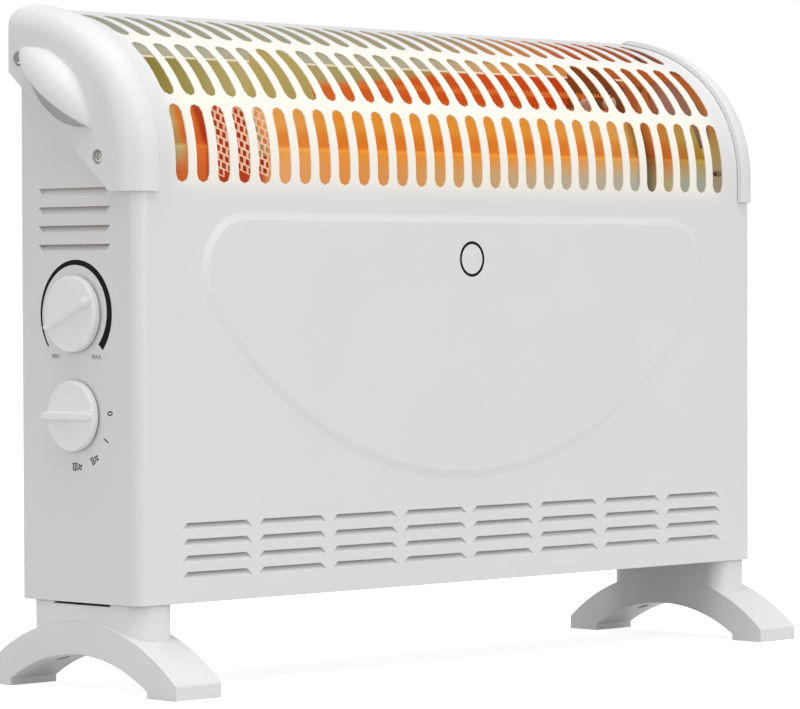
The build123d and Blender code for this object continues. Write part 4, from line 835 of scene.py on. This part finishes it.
class HEATER_OT_knobs(Operator):
    """Turn the two knobs with their finger bars"""

    bl_idname = "heater.knobs"
    bl_label = "Knobs"

    def execute(self, context):
        knobs = context.scene.heater_knobs
        material = knob_surface(context.scene.heater_finish)
        rest_turns = {"thermostat_knob": THERMOSTAT_REST, "switch_knob": 0.0}
        centres = {"thermostat_knob": THERMOSTAT, "switch_knob": SELECTOR}
        bodies = {"thermostat_knob": "thermostat", "switch_knob": "selector"}
        for node, turn in rest_turns.items():
            low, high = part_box(node)
            radius = (high.z - low.z) / 2
            bottom = SIDE_X - high.x
            face = SIDE_X - low.x - knobs.bar_height
            shape = bmesh.new()
            add_turned_shell(shape, knob_profile(radius, bottom, face, knobs), bottom, 1.5 * MM, knobs.sides)
            add_finger_bar(shape, radius - 0.7 * MM, face, knobs.bar_height, knobs, face - 1.2 * MM)
            shape.transform(side_place(centres[node], turn))
            mesh = mesh_from(node + "_moulded", shape, math.radians(38.0))
            piece = make_piece(node + "_moulded", mesh, material, bodies[node])
            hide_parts(node)
        steel = plain_surface("plated_shaft", (0.5, 0.5, 0.49), 0.3, 1.0, 2500.0, 0.01 * MM, 0.1 * MM)
        finish_nodes(["thermostat_shaft", "switch_shaft", "fan_shaft"], steel)
        return {"FINISHED"}


def crescent_mesh(prints):
    """Crescent that widens from the cool end over the top to the hot end."""
    steps = 120
    start, end = 218.0, -42.0
    outer = arc_points(prints.crescent_radius, start, end, steps)
    inner = []
    for i, (x, y) in enumerate(outer):
        width = prints.crescent_thin + (prints.crescent_thick - prints.crescent_thin) * i / steps
        share = 1 - width / prints.crescent_radius
        inner.append((x * share, y * share))
    shape = bmesh.new()
    add_strip(shape, outer, inner, prints.ink)
    shape.transform(side_place(THERMOSTAT))
    return mesh_from("thermostat_crescent", shape)


def word_mesh(name, text, height, thickness, place):
    """Word as a thin flat mesh."""
    curve = bpy.data.curves.new(name, "FONT")
    curve.body = text
    curve.size = height / 0.73
    curve.align_x = "CENTER"
    curve.align_y = "CENTER"
    curve.extrude = thickness / 2
    mesh = evaluated_mesh(bpy.data.objects.new(name, curve))
    bpy.data.curves.remove(curve)
    mesh.transform(place @ Matrix.Translation((0.0, 0.0, thickness / 2)))
    mesh.name = name
    return mesh


def mark_outlines(bars, with_fan, height):
    """Outlines of one selector mark: upright bars between serifs, and a small fan beside them."""
    stroke = 0.17 * height
    pitch = 0.34 * height
    half = height / 2
    width = pitch * (bars - 1) + stroke
    fan_size = 0.46 * height
    shift = -(fan_size * 1.15) if with_fan else 0.0
    outlines = []
    for bar in range(bars):
        x = shift + (bar - (bars - 1) / 2) * pitch
        left, right = x - stroke / 2, x + stroke / 2
        outlines.append([(left, -half), (right, -half), (right, half), (left, half)])
    if bars > 1:
        serif = width / 2 + 0.06 * height
        for y in (-half, half - 0.1 * height):
            left, right, top = shift - serif, shift + serif, y + 0.1 * height
            outlines.append([(left, y), (right, y), (right, top), (left, top)])
    if with_fan:
        centre = (shift + width / 2 + fan_size * 1.15, -0.08 * height)
        for blade in range(4):
            outlines.append(fan_blade(centre, fan_size, math.pi / 2 * blade + 0.4))
    return outlines


def fan_blade(centre, size, turn):
    """One curved blade of the small fan mark."""
    points = []
    for share, angle in ((0.08, 0.0), (0.75, -0.35), (1.0, 0.1), (0.95, 0.55), (0.6, 0.65), (0.3, 0.5)):
        reach, angle = size * share, angle + turn
        points.append((centre[0] + reach * math.cos(angle), centre[1] + reach * math.sin(angle)))
    return points


class HEATER_OT_scales(Operator):
    """Print the thermostat's crescent, its two words and the selector's marks"""

    bl_idname = "heater.scales"
    bl_label = "Printed scales"

    def execute(self, context):
        finish, prints = context.scene.heater_finish, context.scene.heater_print
        ink = ink_surface("scale_ink", tuple(finish.print_ink))
        grey = ink_surface("word_ink", tuple(finish.word_ink))
        make_piece("thermostat_crescent", crescent_mesh(prints), ink, "root")
        for name, text, angle in (("scale_word_low", "MIN", -126.0), ("scale_word_high", "MAX", -54.5)):
            turn = math.radians(angle)
            offset = prints.word_radius * Vector((0.0, -math.cos(turn), math.sin(turn)))
            mesh = word_mesh(name, text, prints.word_height, prints.ink, side_place(THERMOSTAT + offset))
            make_piece(name, mesh, grey, "root")
        self.print_marks(prints, ink)
        return {"FINISHED"}

    def print_marks(self, prints, ink):
        """Marks every thirty degrees, their tops towards the shaft."""
        marks = (("selector_mark_off", 0, False, 3.6), ("selector_mark_one", 1, False, -28.2),
                 ("selector_mark_two", 2, True, -56.7), ("selector_mark_three", 3, True, -87.9))
        for name, bars, with_fan, angle in marks:
            turn = math.radians(angle)
            offset = prints.mark_radius * Vector((0.0, -math.cos(turn), math.sin(turn)))
            shape = bmesh.new()
            if bars == 0:
                ring = arc_points(1.0, 0.0, 360.0, 40)
                half_wide, half_high = 0.30 * prints.mark_height, 0.5 * prints.mark_height
                outer = [(x * half_wide, y * half_high) for x, y in ring]
                inner = [(x * half_wide * 0.42, y * half_high * 0.68) for x, y in ring]
                add_strip(shape, outer, inner, prints.ink)
            for outline in mark_outlines(bars, with_fan, prints.mark_height):
                add_slab(shape, outline, prints.ink)
            shape.transform(side_place(SELECTOR + offset, turn + math.pi / 2))
            make_piece(name, mesh_from(name, shape), ink, "root")


class HEATER_OT_front_ring(Operator):
    """Print a plain ring on the front"""

    bl_idname = "heater.front_ring"
    bl_label = "Front ring"

    def execute(self, context):
        prints = context.scene.heater_print
        ink = ink_surface("ring_ink", tuple(context.scene.heater_finish.print_ink))
        shape = bmesh.new()
        outer = arc_points(prints.ring_radius, 0.0, 360.0, 72)
        inner = arc_points(prints.ring_radius - prints.ring_width, 0.0, 360.0, 72)
        add_strip(shape, outer, inner, prints.ink)
        bmesh.ops.remove_doubles(shape, verts=shape.verts, dist=0.001 * MM)
        stand = Matrix.Rotation(math.pi / 2, 4, "X")
        shape.transform(Matrix.Translation((0.0019, HOUSING_LOW.y, prints.ring_height)) @ stand)
        make_piece("front_ring", mesh_from("front_ring", shape), ink, "root")
        return {"FINISHED"}


def loose_boxes(node):
    """Corners of each separate solid of a node."""
    mesh = frame["nodes"][node].data
    keys = {}
    owner = []
    for vertex in mesh.vertices:
        key = tuple(round(value, 5) for value in vertex.co)
        owner.append(keys.setdefault(key, len(keys)))
    parent = list(range(len(keys)))

    def root(index):
        while parent[index] != index:
            parent[index] = parent[parent[index]]
            index = parent[index]
        return index

    for polygon in mesh.polygons:
        first = root(owner[polygon.vertices[0]])
        for index in polygon.vertices[1:]:
            parent[root(owner[index])] = first
    boxes = {}
    for key, index in keys.items():
        low, high = boxes.setdefault(root(index), (Vector(key), Vector(key)))
        boxes[root(index)] = (Vector(map(min, low, key)), Vector(map(max, high, key)))
    return sorted(boxes.values(), key=lambda pair: tuple(pair[0]))


def add_screw(shape, radius, head, length, fasteners):
    """Pan head with a rounded edge over a plain shank, its top at the origin."""
    profile = [(0.62 * radius, -0.01 * head), (0.86 * radius, -0.12 * head), (0.97 * radius, -0.38 * head),
               (radius, -0.7 * head), (radius, -head), (0.52 * radius, -head),
               (0.52 * radius, -length + 0.4 * head), (0.15 * radius, -length)]
    rings = [turned_ring(shape, x, z, fasteners.sides) for x, z in profile]
    join_rings(shape, rings)
    shape.faces.new(rings[0])
    shape.faces.new(rings[-1])


def screw_mesh(radius, head, length, fasteners):
    """One screw with its cross recess cut in."""
    shape = bmesh.new()
    add_screw(shape, radius, head, length, fasteners)
    body = bpy.data.objects.new("screw_blank", mesh_from("screw_blank", shape))
    cutter_shape = bmesh.new()
    half, arm = fasteners.recess_width / 2, fasteners.recess_span / 2
    cross = [(half, half), (half, arm), (-half, arm), (-half, half), (-arm, half), (-arm, -half),
             (-half, -half), (-half, -arm), (half, -arm), (half, -half), (arm, -half), (arm, half)]
    add_slab(cutter_shape, cross, 2 * fasteners.recess_depth)
    cutter_shape.transform(Matrix.Translation((0.0, 0.0, -fasteners.recess_depth)))
    cutter = bpy.data.objects.new("screw_cross", mesh_from("screw_cross", cutter_shape))
    bpy.context.scene.collection.objects.link(cutter)
    cut = body.modifiers.new("recess", "BOOLEAN")
    cut.operation = "DIFFERENCE"
    cut.solver = "EXACT"
    cut.object = cutter
    mesh = evaluated_mesh(body)
    bpy.data.objects.remove(cutter)
    return mesh


class HEATER_OT_screws(Operator):
    """Replace each group of plain screws with cross-recess screws"""

    bl_idname = "heater.screws"
    bl_label = "Screws"

    def execute(self, context):
        fasteners = context.scene.heater_fasteners
        material = zinc_surface(context.scene.heater_finish)
        for number, (node, facing) in enumerate(SCREW_FACINGS.items()):
            shape = bmesh.new()
            for place, (low, high) in enumerate(loose_boxes(node)):
                middle = (low + high) / 2
                outward = facing or Vector((math.copysign(1.0, middle.x), 0.0, 0.0))
                size = high - low
                length = abs(size.dot(outward))
                radius = sorted(size)[-2] / 2 if length > max(sorted(size)[:2]) else sorted(size)[-1] / 2
                head = 1.3 * MM if facing is OUTWARD else 2.4 * MM
                one = screw_mesh(radius, head, length, fasteners)
                turn = Matrix.Rotation(0.7 * place + 0.3 * number, 4, "Z")
                stand = Vector((0.0, 0.0, 1.0)).rotation_difference(outward).to_matrix().to_4x4()
                one.transform(Matrix.Translation(middle + outward * length / 2) @ stand @ turn)
                shape.from_mesh(one)
                bpy.data.meshes.remove(one)
            mesh = mesh_from(node + "_cross", shape, math.radians(35.0))
            piece = make_piece(node + "_cross", mesh, material, "root")
            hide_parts(node)
        return {"FINISHED"}


def wire_path(node, glow):
    """Centre line of a wire: straight runs joined by half turns, as points in the wire's own plane."""
    low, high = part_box(node)
    size = high.y - low.y
    pitch = (high.z - low.z - size) / (glow.runs - 1)
    loop = pitch / 2
    right = high.x - size / 2 - loop
    left = low.x + size / 2 + loop
    points = []
    steps = 10
    for run in range(glow.runs):
        z = low.z + size / 2 + run * pitch
        ends = (left, right) if run % 2 == 0 else (right, left)
        start = low.x + size / 2 if run == 0 else ends[0]
        points.append(Vector((start, z)))
        points.append(Vector((ends[1], z)))
        if run < glow.runs - 1:
            side = 1.0 if run % 2 == 0 else -1.0
            for step in range(1, steps):
                turn = -math.pi / 2 + math.pi * step / steps
                x = ends[1] + side * loop * math.cos(turn)
                points.append(Vector((x, z + loop + loop * math.sin(turn))))
    return points, (low.y + high.y) / 2


def coil_points(points, plane_y, glow):
    """Coil that follows the centre line."""
    coil = []
    travelled = 0.0
    per_turn = 6
    step = glow.coil_pitch / per_turn
    count = 0
    for first, second in zip(points, points[1:]):
        span = (second - first).length
        along = (second - first) / span
        across = Vector((-along.y, along.x))
        while count * step < travelled + span:
            place = first + along * (count * step - travelled)
            turn = 2 * math.pi * count / per_turn
            offset = glow.coil_radius * math.cos(turn)
            depth = glow.coil_radius * math.sin(turn)
            coil.append((place.x + across.x * offset, plane_y + depth, place.y + across.y * offset))
            count += 1
        travelled += span
    return coil


class HEATER_OT_heating_wires(Operator):
    """Wind the two heating wires"""

    bl_idname = "heater.heating_wires"
    bl_label = "Heating wires"

    def execute(self, context):
        glow = context.scene.heater_glow
        material = wire_surface(glow)
        for node in ("front_heating_wire", "rear_heating_wire"):
            path, plane_y = wire_path(node, glow)
            coil = coil_points(path, plane_y, glow)
            curve = bpy.data.curves.new(node + "_coil", "CURVE")
            curve.dimensions = "3D"
            spline = curve.splines.new("POLY")
            spline.points.add(len(coil) - 1)
            for point, (x, y, z) in zip(spline.points, coil):
                point.co = (x, y, z, 1.0)
            curve.bevel_depth = glow.wire_radius
            curve.bevel_resolution = 0
            curve.use_fill_caps = True
            mesh = evaluated_mesh(bpy.data.objects.new(node + "_coil", curve))
            mesh.polygons.foreach_set("use_smooth", [True] * len(mesh.polygons))
            piece = make_piece(node + "_coil", mesh, material, "root")
            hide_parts(node)
        return {"FINISHED"}


class HEATER_OT_chamber(Operator):
    """Finish the heating chamber's sheets, boards and pegs"""

    bl_idname = "heater.chamber"
    bl_label = "Heating chamber"

    def execute(self, context):
        finish, glow = context.scene.heater_finish, context.scene.heater_glow
        finish_nodes(["front_heat_shield"], front_shield_surface(glow))
        finish_nodes(["rear_heat_shield"], rear_shield_surface(glow))
        # Painted light: the element plates and the fan case take the wires' glow as base colour and emission.
        finish_nodes(["left_element_plate"], glow_lit_plate_surface("pale_glow_lit_plate", (0.46, 0.36, 0.12), glow))
        finish_nodes(["right_element_plate"], glow_lit_plate_surface("dark_glow_lit_plate", (0.20, 0.05, 0.012), glow))
        finish_nodes(["fan_case"], glow_lit_plate_surface("glow_lit_fan_case", (0.50, 0.045, 0.007), glow))
        # Painted shade: the control shield is made near-black so that the louvres in front of it look dark.
        finish_nodes(["control_shield"], shaded_sheet_surface(finish))
        mica = plain_surface("mica", (0.30, 0.16, 0.06), 0.6, 0.0, 600.0, 0.03 * MM, 0.1 * MM)
        finish_nodes(["left_mica_board", "right_mica_board"], mica)
        ceramic = plain_surface("ceramic", tuple(finish.ceramic), 0.7, 0.0, 1400.0, 0.02 * MM, 0.2 * MM)
        finish_nodes(["ceramic_pegs", "terminal_block"], ceramic)
        return {"FINISHED"}


class HEATER_OT_controls(Operator):
    """Finish the control cases, the limiter and the fan"""

    bl_idname = "heater.controls"
    bl_label = "Controls and fan"

    def execute(self, context):
        finish = context.scene.heater_finish
        case = plain_surface("control_case", tuple(finish.case), 0.5, 0.0, 1500.0, 0.02 * MM, 0.3 * MM)
        finish_nodes(["thermostat_body", "switch_body", "thermal_cutout"], case)
        rotor = plain_surface("fan_moulding", (0.03, 0.03, 0.032), 0.55, 0.0, 1500.0, 0.02 * MM, 0.3 * MM)
        finish_nodes(["fan_impeller"], rotor)
        core = plain_surface("motor_laminations", (0.18, 0.17, 0.16), 0.45, 0.8, 900.0, 0.05 * MM, 0.1 * MM)
        finish_nodes(["fan_motor"], core)
        return {"FINISHED"}


def add_mesh_cell(shape, centre, cell, strand, depth, lean):
    """One cell of expanded metal: four strands round a leaning opening."""
    rows = []
    for inset, y in ((0.0, 0.0), (strand / 2, 0.0), (0.0, -depth), (strand / 2, -depth)):
        half_x, half_z = cell[0] / 2 - inset, cell[1] / 2 - inset
        corners = ((-half_x, -half_z), (half_x, -half_z), (half_x, half_z), (-half_x, half_z))
        rows.append([shape.verts.new((centre[0] + x, y, centre[1] + z - lean * x)) for x, z in corners])
    back_out, back_in, front_out, front_in = rows
    for i in range(4):
        after = (i + 1) % 4
        shape.faces.new((front_out[i], front_out[after], front_in[after], front_in[i]))
        shape.faces.new((back_out[i], back_in[i], back_in[after], back_out[after]))
        shape.faces.new((back_in[i], front_in[i], front_in[after], back_in[after]))
        shape.faces.new((back_out[i], back_out[after], front_out[after], front_out[i]))


class HEATER_OT_fan_guard(Operator):
    """Lay the expanded metal over the fan's window"""

    bl_idname = "heater.fan_guard"
    bl_label = "Fan guard"

    def execute(self, context):
        guard = context.scene.heater_guard
        low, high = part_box("fan_guard")
        middle = (low + high) / 2
        cell = ((high.x - low.x) / guard.cells_across, (high.z - low.z) / guard.cells_up)
        shape = bmesh.new()
        for row in range(-guard.cells_up, 2 * guard.cells_up):
            shift = cell[0] / 2 if row % 2 else 0.0
            for column in range(-1, guard.cells_across + 1):
                x = low.x + (column + 0.5) * cell[0] + shift
                z = low.z + (row + 0.5) * cell[1] - guard.lean * (x - middle.x)
                slack = cell[1] / 2 + guard.lean * cell[0] / 2
                if low.z + slack < z < high.z - slack and low.x + cell[0] / 2 <= x <= high.x - cell[0] / 2:
                    add_mesh_cell(shape, (x, z), cell, guard.strand, high.y - low.y, guard.lean)
        shape.transform(Matrix.Translation((0.0, high.y, 0.0)))
        metal = Surface("expanded_metal", (0.80, 0.42, 0.20), 0.4, metallic=0.6)
        glow = context.scene.heater_glow
        # Painted light: the strands' orange tints are the wires' glow on them, also given off as emission.
        painted_glow_tints = [(0.3, (0.90, 0.50, 0.33)), (0.7, (0.96, 0.66, 0.48))]
        light_up(metal, metal.ramp(metal.noise(300.0), painted_glow_tints), glow.strength)
        metal.relief(1500.0, 0.02 * MM, 0.0)
        mesh = mesh_from("fan_guard_mesh", shape)
        piece = make_piece("fan_guard_mesh", mesh, metal.material, "root")
        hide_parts("fan_guard")
        return {"FINISHED"}


def aim(place, target):
    """Rotation that points a lamp's -Z from a place to a target."""
    return (Vector(target) - Vector(place)).to_track_quat("-Z", "Y").to_euler()


def add_lamp(name, place, target, size, strength):
    """Square area lamp whose strength doesn't change with its distance or size."""
    light = bpy.data.lights.new(name, "AREA")
    light.shape = "SQUARE"
    light.size = size
    distance = (Vector(target) - Vector(place)).length
    light.energy = strength * 4.0 * distance ** 2
    lamp = bpy.data.objects.new(name, light)
    lamp.location = place
    lamp.rotation_euler = aim(place, target)
    bpy.context.scene.collection.objects.link(lamp)


class HEATER_OT_stage(Operator):
    """Set the camera, the floor, the room light and the lamps"""

    bl_idname = "heater.stage"
    bl_label = "Stage"

    def execute(self, context):
        stage = context.scene.heater_stage
        self.add_camera(context.scene, stage)
        self.add_floor(stage)
        self.add_room(context.scene, stage)
        centre = (0.0, 0.0, 0.22)
        add_lamp("top_lamp", (-0.3, -0.5, 2.6), centre, 2.4, stage.top_lamp)
        add_lamp("front_lamp", (0.6, -3.2, 1.3), centre, 2.4, stage.front_lamp)
        add_lamp("side_lamp", (-3.2, -0.2, 1.2), centre, 2.0, stage.side_lamp)
        context.scene.view_settings.view_transform = "Standard"
        return {"FINISHED"}

    def add_camera(self, scene, stage):
        """Camera at the photograph's place and angle."""
        data = bpy.data.cameras.new("camera")
        data.lens = stage.lens
        data.sensor_width = 36.0
        data.sensor_fit = "HORIZONTAL"
        data.clip_start = 0.05
        data.clip_end = 100.0
        camera = bpy.data.objects.new("camera", data)
        scene.collection.objects.link(camera)
        sin_a, cos_a = math.sin(stage.azimuth), math.cos(stage.azimuth)
        sin_p, cos_p = math.sin(stage.pitch), math.cos(stage.pitch)
        forward = Vector((sin_a * cos_p, cos_a * cos_p, -sin_p))
        right = Vector((cos_a, -sin_a, 0.0))
        up = right.cross(forward)
        sin_r, cos_r = math.sin(stage.roll), math.cos(stage.roll)
        axes = Matrix((cos_r * right + sin_r * up, -sin_r * right + cos_r * up, -forward)).transposed()
        camera.matrix_world = Matrix.Translation(stage.camera_place) @ axes.to_4x4()
        scene.camera = camera

    def add_floor(self, stage):
        """Large floor under the feet."""
        shape = bmesh.new()
        bmesh.ops.create_grid(shape, x_segments=8, y_segments=8, size=stage.floor_half)
        mesh = mesh_from("floor", shape)
        mesh.materials.append(stage_surface(stage))
        floor = bpy.data.objects.new("floor", mesh)
        bpy.context.scene.collection.objects.link(floor)

    def add_room(self, scene, stage):
        """Even light, and white where the camera or a transmission ray looks past the floor."""
        world = bpy.data.worlds.new("room")
        world.use_nodes = True
        nodes, links = world.node_tree.nodes, world.node_tree.links
        lit = nodes["Background"]
        lit.inputs["Color"].default_value = (1.0, 1.0, 1.0, 1.0)
        lit.inputs["Strength"].default_value = stage.sky
        white = nodes.new("ShaderNodeBackground")
        white.inputs["Color"].default_value = (1.0, 1.0, 1.0, 1.0)
        white.inputs["Strength"].default_value = 1.0
        path = nodes.new("ShaderNodeLightPath")
        seen = nodes.new("ShaderNodeMath")
        seen.operation = "MAXIMUM"
        links.new(path.outputs["Is Camera Ray"], seen.inputs[0])
        links.new(path.outputs["Is Transmission Ray"], seen.inputs[1])
        switch = nodes.new("ShaderNodeMixShader")
        links.new(seen.outputs["Value"], switch.inputs[0])
        links.new(lit.outputs["Background"], switch.inputs[1])
        links.new(white.outputs["Background"], switch.inputs[2])
        links.new(switch.outputs["Shader"], nodes["World Output"].inputs["Surface"])
        scene.world = world


OPERATORS = (
    HEATER_OT_enamel,
    HEATER_OT_mouldings,
    HEATER_OT_knobs,
    HEATER_OT_scales,
    HEATER_OT_front_ring,
    HEATER_OT_screws,
    HEATER_OT_heating_wires,
    HEATER_OT_chamber,
    HEATER_OT_controls,
    HEATER_OT_fan_guard,
    HEATER_OT_stage,
)


class HEATER_PT_panel(Panel):
    """Sidebar list of the heater's settings and pieces"""

    bl_label = "Convector heater"
    bl_idname = "HEATER_PT_panel"
    bl_space_type = "VIEW_3D"
    bl_region_type = "UI"
    bl_category = "Heater"

    def draw(self, context):
        for group in SETTING_GROUPS:
            box = self.layout.box()
            settings = getattr(context.scene, group)
            for name in settings.bl_rna.properties.keys():
                if name not in ("name", "rna_type"):
                    box.prop(settings, name)
        for operator in OPERATORS:
            self.layout.operator(operator.bl_idname)


def register():
    for name, group in SETTING_GROUPS.items():
        bpy.utils.register_class(group)
        setattr(bpy.types.Scene, name, PointerProperty(type=group))
    for operator in OPERATORS:
        bpy.utils.register_class(operator)
    bpy.utils.register_class(HEATER_PT_panel)


def unregister():
    bpy.utils.unregister_class(HEATER_PT_panel)
    for operator in reversed(OPERATORS):
        bpy.utils.unregister_class(operator)
    for name, group in SETTING_GROUPS.items():
        delattr(bpy.types.Scene, name)
        bpy.utils.unregister_class(group)


def main():
    register()
    for operator in OPERATORS:
        group, call = operator.bl_idname.split(".")
        getattr(getattr(bpy.ops, group), call)()


if __name__ == "__main__":
    main()
